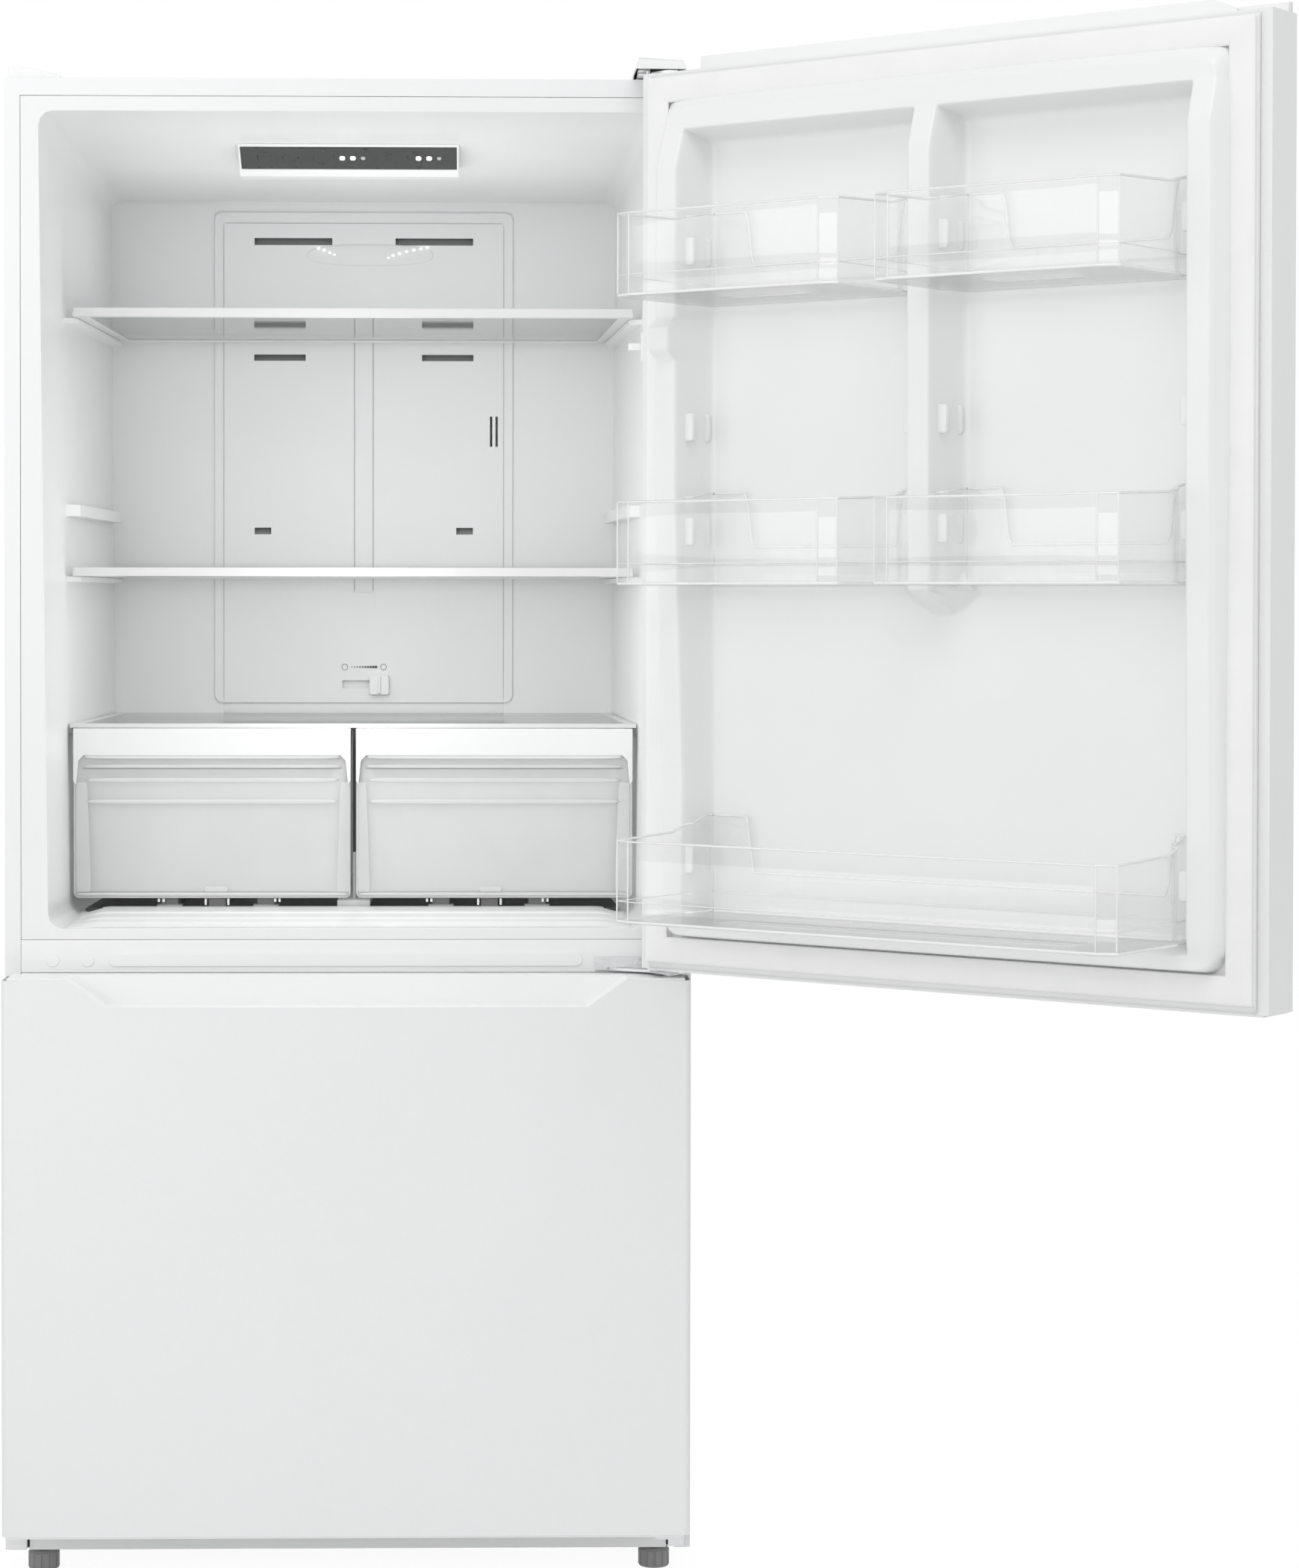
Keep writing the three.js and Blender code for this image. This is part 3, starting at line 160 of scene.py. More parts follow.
def grid_mesh(name, points, wrap_rows=False, wrap_columns=False):
    """Mesh of one grid of points (row, column, xyz)."""
    quads = cells(*points.shape[:2], wrap_rows, wrap_columns)
    return quad_mesh(name, points.reshape(-1, 3), quads)


def quad_mesh(name, points, quads):
    """Mesh from arrays of points and of quads, smooth shaded."""
    mesh = bpy.data.meshes.new(name)
    mesh.vertices.add(len(points))
    mesh.vertices.foreach_set("co", np.ascontiguousarray(points, np.float32).ravel())
    mesh.loops.add(quads.size)
    mesh.loops.foreach_set("vertex_index", np.ascontiguousarray(quads, np.int32).ravel())
    mesh.polygons.add(len(quads))
    mesh.polygons.foreach_set("loop_start", np.arange(len(quads), dtype=np.int32) * quads.shape[1])
    mesh.polygons.foreach_set("use_smooth", np.ones(len(quads), bool))
    mesh.update(calc_edges=True)
    mesh.validate()
    return mesh


def many(shapes, wrap_rows=False):
    """Points and quads of grids of one size (shape, row, column, xyz) whose columns are wrapped."""
    count, rows, columns = shapes.shape[:3]
    cell = cells(rows, columns, wrap_rows, True)
    quads = cell[None] + (np.arange(count) * rows * columns)[:, None, None]
    return shapes.reshape(-1, 3), quads.reshape(-1, 4)


def tidy(mesh, closed=True):
    """Merges doubled points, drops collapsed faces, and turns a closed shell's faces outwards."""
    work = bmesh.new()
    work.from_mesh(mesh)
    bmesh.ops.remove_doubles(work, verts=work.verts, dist=2e-6)
    bmesh.ops.dissolve_degenerate(work, edges=work.edges, dist=1e-7)
    if closed:
        bmesh.ops.recalc_face_normals(work, faces=work.faces)
    work.to_mesh(mesh)
    work.free()
    return mesh


def add_piece(name, mesh, look, body, stands_for=()):
    """Puts a mesh into the scene as a piece with its finish and its body, and hides the nodes that it stands
    for."""
    piece = bpy.data.objects.new(name, mesh)
    bpy.context.scene.collection.objects.link(piece)
    mesh.materials.append(finish(look))
    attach(piece, body)
    if stands_for:
        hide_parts(*stands_for)
    return piece


def add_shapes(name, shapes, look, body="cabinet", place=in_room, stands_for=(), closed=True):
    """Adds grids of one size, such as pillows, as one piece."""
    points, quads = many(shapes)
    mesh = tidy(quad_mesh(name, place(points), quads), closed)
    return add_piece(name, mesh, look, body, stands_for)


def bevel(piece, width, segments):
    """Rounds the edges of a piece that are sharper than SHARP; width in millimetres."""
    rounding = piece.modifiers.new("softened edges", "BEVEL")
    rounding.width = width * 0.001
    rounding.segments = segments
    rounding.limit_method = "ANGLE"
    rounding.angle_limit = SHARP
    rounding.harden_normals = True
    rounding.use_clamp_overlap = True


def thicken(piece, thickness):
    """Gives a sheet its wall, inwards; thickness in millimetres."""
    wall = piece.modifiers.new("wall", "SOLIDIFY")
    wall.thickness = thickness * 0.001
    wall.offset = -1.0
    wall.use_even_offset = True


def get_points(mesh):
    """The points of a mesh as rows of three numbers."""
    points = np.empty(len(mesh.vertices) * 3, np.float32)
    mesh.vertices.foreach_get("co", points)
    return points.reshape(-1, 3).astype(float)


def welded_copy(node, name):
    """A copy of a node's loose triangles: equal corners become one point, flat neighbours one face."""
    source = frame["nodes"][node].data
    corners = get_points(source)
    source.calc_loop_triangles()
    triangles = np.empty(len(source.loop_triangles) * 3, np.int32)
    source.loop_triangles.foreach_get("vertices", triangles)
    keys = np.round(corners * 1e5).astype(np.int64)
    _, first, inverse = np.unique(keys, axis=0, return_index=True, return_inverse=True)
    triangles = inverse.reshape(-1)[triangles].reshape(-1, 3)
    sound = np.all(triangles != np.roll(triangles, -1, 1), axis=1)
    mesh = quad_mesh(name, corners[first], triangles[sound])
    work = bmesh.new()
    work.from_mesh(mesh)
    bmesh.ops.dissolve_limit(work, angle_limit=FLAT, verts=work.verts, edges=work.edges)
    work.to_mesh(mesh)
    work.free()
    mesh.polygons.foreach_set("use_smooth", np.ones(len(mesh.polygons), bool))
    mesh.set_sharp_from_angle(angle=SHARP)
    return mesh


def softened(node, look, width=0.8, segments=2):
    """Stands a welded copy with rounded edges in for a node, on the node's own body."""
    name = node + "_soft"
    body = frame["nodes"][node]["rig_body"]
    piece = add_piece(name, welded_copy(node, name), look, body, [node])
    if width > 0:
        bevel(piece, width, segments)
    return piece


def move_points(piece, change):
    """Gives a copied piece the points that change makes of its own, in metres."""
    points = change(get_points(piece.data))
    piece.data.vertices.foreach_set("co", points.astype(np.float32).ravel())
    piece.data.update()


def dress(node, look):
    """Gives a node that stays its finish."""
    shown = frame["nodes"][node]
    for place in shown.material_slots:
        place.material = finish(look)
    if not shown.material_slots:
        shown.data.materials.append(finish(look))


# ---------------------------------------------------------------- curves and fields


def ease(t):
    """Smooth step: three t squared less two t cubed, held to 0 and 1 outside."""
    t = np.clip(t, 0.0, 1.0)
    return t * t * (3.0 - 2.0 * t)


def lines(*stops):
    """Grid lines from pairs (place, spacing until the next place), ends included."""
    runs = [
        np.linspace(a, b, max(2, int(round((b - a) / gap)) + 1))[:-1]
        for (a, gap), (b, _) in zip(stops[:-1], stops[1:])
    ]
    return np.concatenate(runs + [[stops[-1][0]]])


def rounded_path(corners, radius, spacing, steps=4):
    """A closed path: each corner of a polygon becomes a quadratic curve between points a radius away
    on its two sides, and long sides get extra points so that none is further than the spacing."""
    corner = np.asarray(corners, float)
    radius = np.broadcast_to(np.asarray(radius, float), (len(corner),))[:, None]
    before = np.roll(corner, 1, 0) - corner
    after = np.roll(corner, -1, 0) - corner
    start = corner + before / np.linalg.norm(before, axis=1, keepdims=True) * radius
    end = corner + after / np.linalg.norm(after, axis=1, keepdims=True) * radius
    t = np.linspace(0.0, 1.0, steps + 1)[None, :, None]
    bend = (1 - t) ** 2 * start[:, None] + 2 * t * (1 - t) * corner[:, None] + t**2 * end[:, None]
    path = bend.reshape(-1, corner.shape[1])
    loop = np.vstack([path, path[:1]])
    run = np.concatenate([[0.0], np.cumsum(np.linalg.norm(np.diff(loop, axis=0), axis=1))])
    stations = np.union1d(run, np.arange(0.0, run[-1], spacing))
    stations = stations[np.concatenate([[True], np.diff(stations) > 0.05])]
    stations = stations[stations < run[-1] - 0.05]
    return np.stack([np.interp(stations, run, loop[:, k]) for k in range(corner.shape[1])], -1)


def inside_box(x, z, x0, x1, z0, z1, radius):
    """How far a point lies inside a rectangle with rounded corners; negative outside."""
    cx, cz = (x0 + x1) / 2, (z0 + z1) / 2
    qx = np.abs(x - cx) - ((x1 - x0) / 2 - radius)
    qz = np.abs(z - cz) - ((z1 - z0) / 2 - radius)
    outside = np.hypot(np.maximum(qx, 0), np.maximum(qz, 0))
    return radius - outside - np.minimum(np.maximum(qx, qz), 0)


def soft_min(a, b, width):
    """The smaller of two fields with the crease between them rounded over the width."""
    return (a + b - np.sqrt((a - b) ** 2 + width**2)) / 2 + width * 0.3


def soft_max(a, b, width):
    """The larger of two fields with the crease between them rounded over the width."""
    return (a + b + np.sqrt((a - b) ** 2 + width**2)) / 2 - width * 0.02


def pillow(low, high, power=6.0, rows=9, columns=20):
    """Rounded blocks, one for each pair of corners: a superellipsoid, so each point's share of the
    half size is a signed power of a cosine or sine."""
    low, high = np.atleast_2d(low).astype(float), np.atleast_2d(high).astype(float)
    up = np.linspace(-np.pi / 2, np.pi / 2, rows)[:, None]
    round_ = np.linspace(-np.pi, np.pi, columns, endpoint=False)[None, :]
    share = lambda w: np.sign(w) * np.abs(w) ** (2.0 / power)
    unit = np.stack(
        np.broadcast_arrays(
            share(np.cos(up)) * share(np.cos(round_)),
            share(np.cos(up)) * share(np.sin(round_)),
            share(np.sin(up)) + 0 * round_,
        ),
        -1,
    )
    centre, half = (low + high) / 2, (high - low) / 2
    return centre[:, None, None] + unit[None] * half[:, None, None]


def flat_rings(centres, inner, outer, thick, columns=32):
    """Flat rings that face the room: each rises by its thickness towards the front."""
    profile = np.array([(inner, 0), (inner, -thick), (outer, -thick), (outer, 0)], float)
    angle = np.linspace(0, 2 * np.pi, columns, endpoint=False)
    r, h = profile[:, :1], profile[:, 1:] + 0 * angle[None, :]
    ring = np.stack([r * np.sin(angle), h, r * np.cos(angle)], -1)
    return ring[None] + np.asarray(centres, float)[:, None, None]


# ---------------------------------------------------------------- finishes


def linear(*shades):
    """Display shades from 0 to 1 as the linear values that colour sockets take."""
    shade = np.asarray(shades, float)
    value = np.where(shade <= 0.04045, shade / 12.92, ((shade + 0.055) / 1.055) ** 2.4)
    return tuple(float(v) for v in value)


class Finish:
    """A material under construction: a Principled surface in object coordinates."""

    def __init__(self, name):
        self.material = bpy.data.materials.new(name + "_finish")
        self.material.use_nodes = True
        self.tree = self.material.node_tree
        self.shader = self.tree.nodes["Principled BSDF"]
        self.place = self.node("ShaderNodeTexCoord").outputs["Object"]

    def node(self, kind, **settings):
        made = self.tree.nodes.new(kind)
        for key, value in settings.items():
            setattr(made, key, value)
        return made

    def link(self, output, socket):
        self.tree.links.new(output, socket)

    def set(self, **values):
        for key, value in values.items():
            self.shader.inputs[key.replace("_", " ")].default_value = value
        return self

    def stretched(self, scale):
        """Object coordinates scaled by three factors."""
        mapping = self.node("ShaderNodeMapping")
        mapping.inputs["Scale"].default_value = scale
        self.link(self.place, mapping.inputs["Vector"])
        return mapping.outputs["Vector"]

    def noise(self, scale, detail=3.0, roughness=0.5, vector=None):
        made = self.node("ShaderNodeTexNoise")
        made.inputs["Scale"].default_value = scale
        made.inputs["Detail"].default_value = detail
        made.inputs["Roughness"].default_value = roughness
        self.link(vector or self.place, made.inputs["Vector"])
        return made.outputs["Fac"]

    def ramp(self, value, *stops):
        made = self.node("ShaderNodeValToRGB")
        elements = made.color_ramp.elements
        while len(elements) < len(stops):
            elements.new(0.5)
        for element, (at, colour) in zip(elements, stops):
            element.position = at
            element.color = (*colour, 1.0) if len(colour) == 3 else colour
        self.link(value, made.inputs["Fac"])
        return made.outputs["Color"]

    def shades(self, value, colour, spread, low=0.3, high=0.7):
        """Base colour that drifts with a value between two shades close to the given one."""
        colour = np.asarray(colour[:3], float)
        darker, lighter = colour * (1 - spread), np.minimum(colour * (1 + spread * 0.5), 1.0)
        ramp = self.ramp(value, (low, tuple(darker)), (high, tuple(lighter)))
        self.link(ramp, self.shader.inputs["Base Color"])
        return self

    def mapped(self, value, low, high):
        """The middle of a noise's range, carried to two limits."""
        made = self.node("ShaderNodeMapRange")
        for name, number in (("From Min", 0.3), ("From Max", 0.7), ("To Min", low), ("To Max", high)):
            made.inputs[name].default_value = number
        self.link(value, made.inputs["Value"])
        return made.outputs["Result"]

    def rough(self, value, low, high):
        """Roughness that follows a value between two limits."""
        self.link(self.mapped(value, low, high), self.shader.inputs["Roughness"])
        return self

    def bump(self, value, depth, strength=1.0):
        """Relief of that depth in millimetres."""
        made = self.node("ShaderNodeBump")
        made.inputs["Distance"].default_value = depth * 0.001
        made.inputs["Strength"].default_value = strength
        self.link(value, made.inputs["Height"])
        self.link(made.outputs["Normal"], self.shader.inputs["Normal"])
        return self

    def math(self, operation, a, b=None, clamp=False):
        made = self.node("ShaderNodeMath", operation=operation, use_clamp=clamp)
        for socket, value in zip(made.inputs, (a, b)):
            if value is None:
                continue
            if isinstance(value, (int, float)):
                socket.default_value = value
            else:
                self.link(value, socket)
        return made.outputs["Value"]


def finish(kind):
    """The named finish, made once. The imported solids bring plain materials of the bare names."""
    known = bpy.data.materials.get(kind + "_finish")
    if known:
        return known
    if kind in PLASTICS:
        shades, *surface = PLASTICS[kind]
        return moulded(kind, linear(*shades), *surface)
    return FINISHES[kind](bpy.context.scene.fridge_finishes)


def white_enamel(look):
    """Smooth enamel on folded sheet: a faint drift of shade and a shallow orange peel."""
    made = Finish("white_steel").set(IOR=1.5, Coat_Weight=0.25, Coat_Roughness=0.12)
    made.shades(made.noise(3.0), look.enamel, 0.012)
    made.rough(made.noise(90.0), 0.34, 0.42)
    made.bump(made.noise(420.0, 2.0), 0.02, 0.5)
    return made.material


def pebbled_enamel(look):
    """Enamel over embossed sheet: rounded pebbles about two millimetres across, uneven in size."""
    made = Finish("pebbled_steel").set(IOR=1.5, Coat_Weight=0.2, Coat_Roughness=0.2)
    made.shades(made.noise(2.2), look.pebbled, 0.012)
    grain = made.node("ShaderNodeTexVoronoi", feature="SMOOTH_F1")
    grain.inputs["Scale"].default_value = 1000.0 / look.pebble_size
    grain.inputs["Smoothness"].default_value = 0.6
    wander = made.noise(260.0, 3.0, 0.6)
    shifted = made.node("ShaderNodeVectorMath", operation="MULTIPLY_ADD")
    made.link(made.node("ShaderNodeTexCoord").outputs["Object"], shifted.inputs[2])
    made.link(wander, shifted.inputs[0])
    shifted.inputs[1].default_value = (0.004, 0.004, 0.004)
    made.link(shifted.outputs["Vector"], grain.inputs["Vector"])
    height = made.math("SUBTRACT", made.math("MULTIPLY", wander, 1.2), grain.outputs["Distance"])
    made.rough(wander, 0.42, 0.52)
    made.bump(height, look.pebble_depth, 0.6)
    return made.material


def galvanised(look):
    """Coated back sheet: large soft spangles and a dull sheen."""
    made = Finish("galvanised_steel").set(Metallic=0.3, IOR=1.5)
    spangle = made.node("ShaderNodeTexVoronoi")
    spangle.inputs["Scale"].default_value = 60.0
    made.link(made.place, spangle.inputs["Vector"])
    made.shades(spangle.outputs["Color"], linear(0.88, 0.89, 0.89), 0.04, 0.0, 1.0)
    made.rough(made.noise(40.0), 0.4, 0.55)
    return made.material


def zinc_plate(look):
    """Plated steel: bright metal with fine streaks along its length."""
    made = Finish("zinc_steel").set(Metallic=1.0)
    streak = made.noise(160.0, 4.0, 0.6, made.stretched((0.15, 1.0, 1.0)))
    made.shades(streak, look.zinc, 0.1)
    made.rough(streak, 0.24, 0.4)
    made.bump(streak, 0.02, 0.4)
    return made.material


def moulded(name, colour, low, high, grain=0.012, coat=0.0):
    """Moulded plastic: almost even colour, a slight sheen and a very fine skin."""
    made = Finish(name).set(IOR=1.48, Coat_Weight=coat, Coat_Roughness=0.1)
    made.shades(made.noise(6.0), colour, 0.01)
    made.rough(made.noise(120.0), low, high)
    made.bump(made.noise(700.0, 2.0), grain, 0.4)
    return made.material


def vinyl(look):
    """Soft magnetic seal: matt, with faint lines along its run."""
    made = Finish("gasket_vinyl").set(IOR=1.46)
    made.shades(made.noise(20.0), look.gasket, 0.02)
    made.rough(made.noise(200.0), 0.5, 0.62)
    made.bump(made.noise(500.0, 2.0), 0.01, 0.3)
    return made.material


def see_through(made, haze, mirror):
    """Lets sight and light through a finish. The haze share of a ray meets the finish's own surface.
    Over that lies a film whose reflected share grows from the mirror share, seen square on, to all
    of it along the surface."""
    facing = made.node("ShaderNodeLayerWeight")
    facing.inputs["Blend"].default_value = 0.5
    grazing = made.math("POWER", facing.outputs["Facing"], 5.0)
    share = made.math("ADD", made.math("MULTIPLY", grazing, 1.0 - mirror), mirror, clamp=True)
    sight = made.node("ShaderNodeBsdfTransparent")
    body = made.node("ShaderNodeMixShader")
    if isinstance(haze, float):
        body.inputs[0].default_value = haze
    else:
        made.link(haze, body.inputs[0])
    made.link(sight.outputs["BSDF"], body.inputs[1])
    made.link(made.shader.outputs["BSDF"], body.inputs[2])
    gloss = made.node("ShaderNodeBsdfGlossy")
    gloss.inputs["Roughness"].default_value = 0.05
    film = made.node("ShaderNodeMixShader")
    made.link(share, film.inputs[0])
    made.link(body.outputs["Shader"], film.inputs[1])
    made.link(gloss.outputs["BSDF"], film.inputs[2])
    made.link(film.outputs["Shader"], made.tree.nodes["Material Output"].inputs["Surface"])
    return made.material


def clear(name, colour, low, high, mirror):
    """See-through plastic or glass: a haze that drifts from place to place under a smooth skin."""
    made = Finish(name).set(IOR=1.45)
    drift = made.noise(7.0)
    made.shades(drift, colour, 0.01)
    made.rough(made.noise(60.0), 0.08, 0.14)
    return see_through(made, made.mapped(drift, low, high), mirror)


def frosted(look):
    """Frosted crisper plastic: half see-through, finely stippled, a little cloudier in places. Lamps
    pass it more easily than sight does, as plastic that scatters light forwards lets them."""
    made = Finish("frosted_plastic").set(IOR=1.45)
    cloud = made.noise(8.0, 2.0)
    made.shades(cloud, look.frosted, 0.015)
    made.rough(made.noise(300.0), 0.32, 0.45)
    made.bump(made.noise(900.0, 2.0), 0.04, 0.6)
    lamp_ray = made.node("ShaderNodeLightPath").outputs["Is Shadow Ray"]
    thinner = made.math("SUBTRACT", 1.0, made.math("MULTIPLY", lamp_ray, 0.7))
    haze = made.math("MULTIPLY", made.math("ADD", made.math("MULTIPLY", cloud, 0.08), 0.34), thinner)
    return see_through(made, haze, 0.02)


def runner_painted_shade(look):
    """The crisper base: grey runners on a near-black tray, a white foot in front and a centre web that is
    pale below and dark above. The near-black tray and the web's dark upper part are painted shade, standing
    in for the shadow in the gap under and between the crispers. The places are steps of the height and of the
    distance from the middle, in metres."""
    made = Finish("runner_plastic_painted_shade").set(IOR=1.48)
    split = made.node("ShaderNodeSeparateXYZ")
    made.link(made.place, split.inputs["Vector"])
    side = made.math("ABSOLUTE", made.math("SUBTRACT", split.outputs["X"], MIDDLE_X))
    height = split.outputs["Z"]
    above_tray = made.math("GREATER_THAN", height, 0.7267)
    near_middle = made.math("LESS_THAN", side, 0.0205)
    web = made.math("LESS_THAN", side, 0.009)
    high = made.math("GREATER_THAN", height, 0.788)
    # Painted shade: everything below the runners' height is near black, for the shadowed gap under the
    # crispers.
    shade = made.math("ADD", 0.03, made.math("MULTIPLY", above_tray, 0.13))
    white = made.math("MULTIPLY", made.math("MULTIPLY", above_tray, near_middle), 0.66)
    # Painted shade: the centre web is darkened above 0.788, where it lies in the shadowed gap between the
    # crispers.
    dark = made.math("MULTIPLY", made.math("MULTIPLY", web, high), 0.76)
    shade = made.math("SUBTRACT", made.math("ADD", shade, white), dark)
    drift = made.math("MULTIPLY", made.noise(30.0), 0.02)
    tone = made.math("ADD", shade, drift, clamp=True)
    grey = made.ramp(tone, (0.0, (0.0, 0.0, 0.0)), (1.0, (1.0, 1.0, 1.0)))
    made.link(grey, made.shader.inputs["Base Color"])
    made.rough(made.noise(120.0), 0.45, 0.55)
    made.bump(made.noise(700.0, 2.0), 0.03, 0.4)
    return made.material


def display(look):
    """The dark display: a smooth window, slightly uneven in tone."""
    made = Finish("panel_grey").set(IOR=1.5, Coat_Weight=0.5, Coat_Roughness=0.06)
    made.shades(made.noise(12.0), look.display, 0.05)
    made.rough(made.noise(80.0), 0.26, 0.34)
    return made.material


def lit(name, shade, strength):
    """A pale cap that glows a little unevenly: a small lamp behind a diffuser on the display, and also the
    painted glints on the air tower's lens.
    """
    made = Finish(name).set(IOR=1.45)
    made.shades(made.noise(900.0), (shade, shade, shade), 0.03)
    made.rough(made.noise(400.0), 0.3, 0.4)
    made.shader.inputs["Emission Color"].default_value = (1.0, 1.0, 1.0, 1.0)
    made.shader.inputs["Emission Strength"].default_value = strength
    return made.material


def rigid_foam(look):
    """Blown insulation: yellowish with fine cells."""
    made = Finish("foam")
    made.shades(made.noise(30.0), linear(0.9, 0.87, 0.7), 0.06)
    made.rough(made.noise(300.0), 0.85, 0.95)
    made.bump(made.noise(800.0), 0.3)
    return made.material


def bare_fins(look):
    """Bare aluminium with fine brushed streaks."""
    made = Finish("bare_aluminium").set(Metallic=1.0)
    streak = made.noise(200.0, 4.0, 0.6, made.stretched((1.0, 1.0, 0.1)))
    made.shades(streak, linear(0.8, 0.81, 0.82), 0.08)
    made.rough(streak, 0.3, 0.45)
    return made.material


# Moulded plastics of one colour: display shades, least and most roughness, grain, coat.
PLASTICS = {
    "trim_plastic": ((0.89, 0.89, 0.89), 0.35, 0.45),
    "grey_plastic": ((0.58, 0.58, 0.58), 0.45, 0.55, 0.03),
    "dark_plastic": ((0.2, 0.2, 0.21), 0.5, 0.6, 0.04),
    # Painted shade: the grey of the vanes behind the tower's vents stands in for the shade inside them.
    "vent_painted_shade_grey": ((0.62, 0.62, 0.62), 0.6, 0.7, 0.03),
    "slot_plastic": ((0.97, 0.97, 0.97), 0.4, 0.5),
    "mark_grey": ((0.62, 0.63, 0.63), 0.4, 0.5),
    "scale_grey": ((0.38, 0.38, 0.38), 0.4, 0.5),
    "mark_pale": ((0.8, 0.8, 0.8), 0.35, 0.45),
    "mark_dark": ((0.2, 0.2, 0.2), 0.3, 0.4),
    "black_shell": ((0.13, 0.13, 0.135), 0.35, 0.5, 0.05, 0.2),
}

FINISHES = {
    "white_steel": white_enamel,
    "pebbled_steel": pebbled_enamel,
    "galvanised_steel": galvanised,
    "zinc_steel": zinc_plate,
    "white_plastic": lambda look: moulded("white_plastic", look.plastic, 0.28, 0.36, coat=0.15),
    "liner_plastic": lambda look: moulded("liner_plastic", look.liner, 0.3, 0.38, coat=0.1),
    "gasket_vinyl": vinyl,
    "clear_plastic": lambda look: clear("clear_plastic", look.clear, 0.02, 0.035, 0.045),
    "clear_glass": lambda look: clear("clear_glass", look.glass, 0.1, 0.12, 0.03),
    # Painted highlight: nearly opaque white beads stand in for the bright edges of the clear bins.
    "bead_painted_highlight": lambda look: clear("bead_painted_highlight", (0.98, 0.98, 0.98), 0.8, 0.88, 0.04),
    "frosted_plastic": frosted,
    "frosted_rib": lambda look: clear("frosted_rib", look.plastic, 0.5, 0.6, 0.04),
    "runner_plastic_painted_shade": runner_painted_shade,
    "panel_grey": display,
    "lamp_lit": lambda look: lit("lamp_lit", 0.95, 1.2),
    "lamp_dim": lambda look: lit("lamp_dim", 0.45, 0.1),
    # Painted glints: glowing caps stand in for reflections of the lens's LEDs.
    "painted_glint": lambda look: lit("painted_glint", 0.95, 2.0),
    "foam": rigid_foam,
    "bare_aluminium": bare_fins,
}


# ---------------------------------------------------------------- settings


def colour(name, description, *shades):
    """A colour setting, from display shades."""
    return FloatVectorProperty(
        name=name, description=description, subtype="COLOR", size=3, default=linear(*shades)
    )


def number(name, description, default, low, high, **more):
    """A number setting with its limits."""
    return FloatProperty(name=name, description=description, default=default, min=low, max=high, **more)


class FridgeFinishSettings(bpy.types.PropertyGroup):
    """Colours and grain of the refrigerator's finishes."""

    enamel: colour("Enamel", "Smooth white enamel of the cabinet", 0.94, 0.943, 0.945)
    pebbled: colour("Pebbled enamel", "Grained enamel of the doors", 0.925, 0.928, 0.93)
    plastic: colour("White plastic", "Caps, trims and covers", 0.955, 0.957, 0.957)
    liner: colour("Liner", "Vacuum-formed liners", 0.94, 0.942, 0.943)
    gasket: colour("Gasket", "Magnetic door seals", 0.95, 0.95, 0.95)
    clear: colour("Clear plastic", "Door bins", 0.985, 0.99, 0.99)
    glass: colour("Shelf glass", "Shelves and crisper cover", 0.955, 0.975, 0.97)
    frosted: colour("Frosted plastic", "Crispers", 0.965, 0.967, 0.967)
    display: colour("Display", "Face of the control box", 0.26, 0.26, 0.26)
    zinc: colour("Zinc", "Hinges", 0.85, 0.855, 0.86)
    pebble_size: number(
        "Pebble size", "Distance between the pebbles of the door enamel, in millimetres", 2.2, 0.5, 6.0
    )
    pebble_depth: number("Pebble depth", "Height of the pebbles, in millimetres", 0.16, 0.0, 1.0)


class FridgeShapeSettings(bpy.types.PropertyGroup):
    """Sizes of the refrigerator's softened edges and moulded pieces, in millimetres."""

    edge: number("Plastic edge", "Radius on the edges of moulded plastic", 0.8, 0.0, 4.0)
    sheet_edge: number("Sheet edge", "Radius on the edges of folded sheet", 0.35, 0.0, 2.0)
    liner_wall: number("Door liner wall", "Thickness of the fridge door's liner", 1.6, 0.5, 3.0)
    crest_radius: number("Crest radius", "Radius along the edges of the door liner's dykes", 3.5, 1.0, 8.0)
    recess_radius: number("Recess radius", "Radius where a recess wall meets its floor", 9.0, 4.0, 40.0)
    bin_wall: number("Bin wall", "Wall of the clear door bins", 2.0, 1.0, 4.0)
    seal_fold: number("Seal fold", "How deep the folds of the door seals are", 4.2, 0.0, 6.0)
    seal_sides: IntProperty(
        name="Seal points", description="Points along each straight side of a door seal",
        default=12, min=4, max=60,
    )


class FridgeStageSettings(bpy.types.PropertyGroup):
    """Floor, light and camera."""

    floor_half: number("Floor half width", "Half the side of the floor", 14.0, 3.0, 40.0, unit="LENGTH")
    ambient: number("Ambient light", "Strength of the even light from all round", 0.6, 0.0, 2.0)
    key_power: number(
        "Key lamp", "Power of the large soft lamp in front, above and left of the camera",
        26.5, 0.0, 1000.0, unit="POWER",
    )
    inside_power: number(
        "Inside lamp", "Power of the soft lights between the shelves", 0.62, 0.0, 100.0, unit="POWER"
    )
    top_power: number(
        "Top lamp", "Power of the soft lamp above and in front", 26.0, 0.0, 1000.0, unit="POWER"
    )
    right_power: number(
        "Right lamp", "Power of the soft lamp in front on the right", 9.0, 0.0, 1000.0, unit="POWER"
    )
    left_power: number(
        "Left lamp", "Power of the near lamp on the left, which faces the open door",
        4.5, 0.0, 1000.0, unit="POWER",
    )
    focal_pixels: number(
        "Focal length", "Focal length in pixels of the full 1740 by 2100 frame", 4840.7, 500.0, 20000.0
    )


# ---------------------------------------------------------------- the fridge door's liner


def crest_depth(x, z):
    """Depth of the dykes' crests behind the door's front: 98.5 beside the upper bins, 88 beside the
    low one, 84 along the top and 83 at the foot, joined by straight slopes, and 13.5 more on the
    hinge side's bump."""
    crest = np.interp(z, [730, 752, 900, 1200, 1546, 1590], [83.0, 88.0, 88.0, 98.5, 98.5, 84.0])
    bump = np.interp(z, [1339, 1349, 1374, 1384], [0.0, 13.5, 13.5, 0.0])
    return crest + bump * (x > 200)


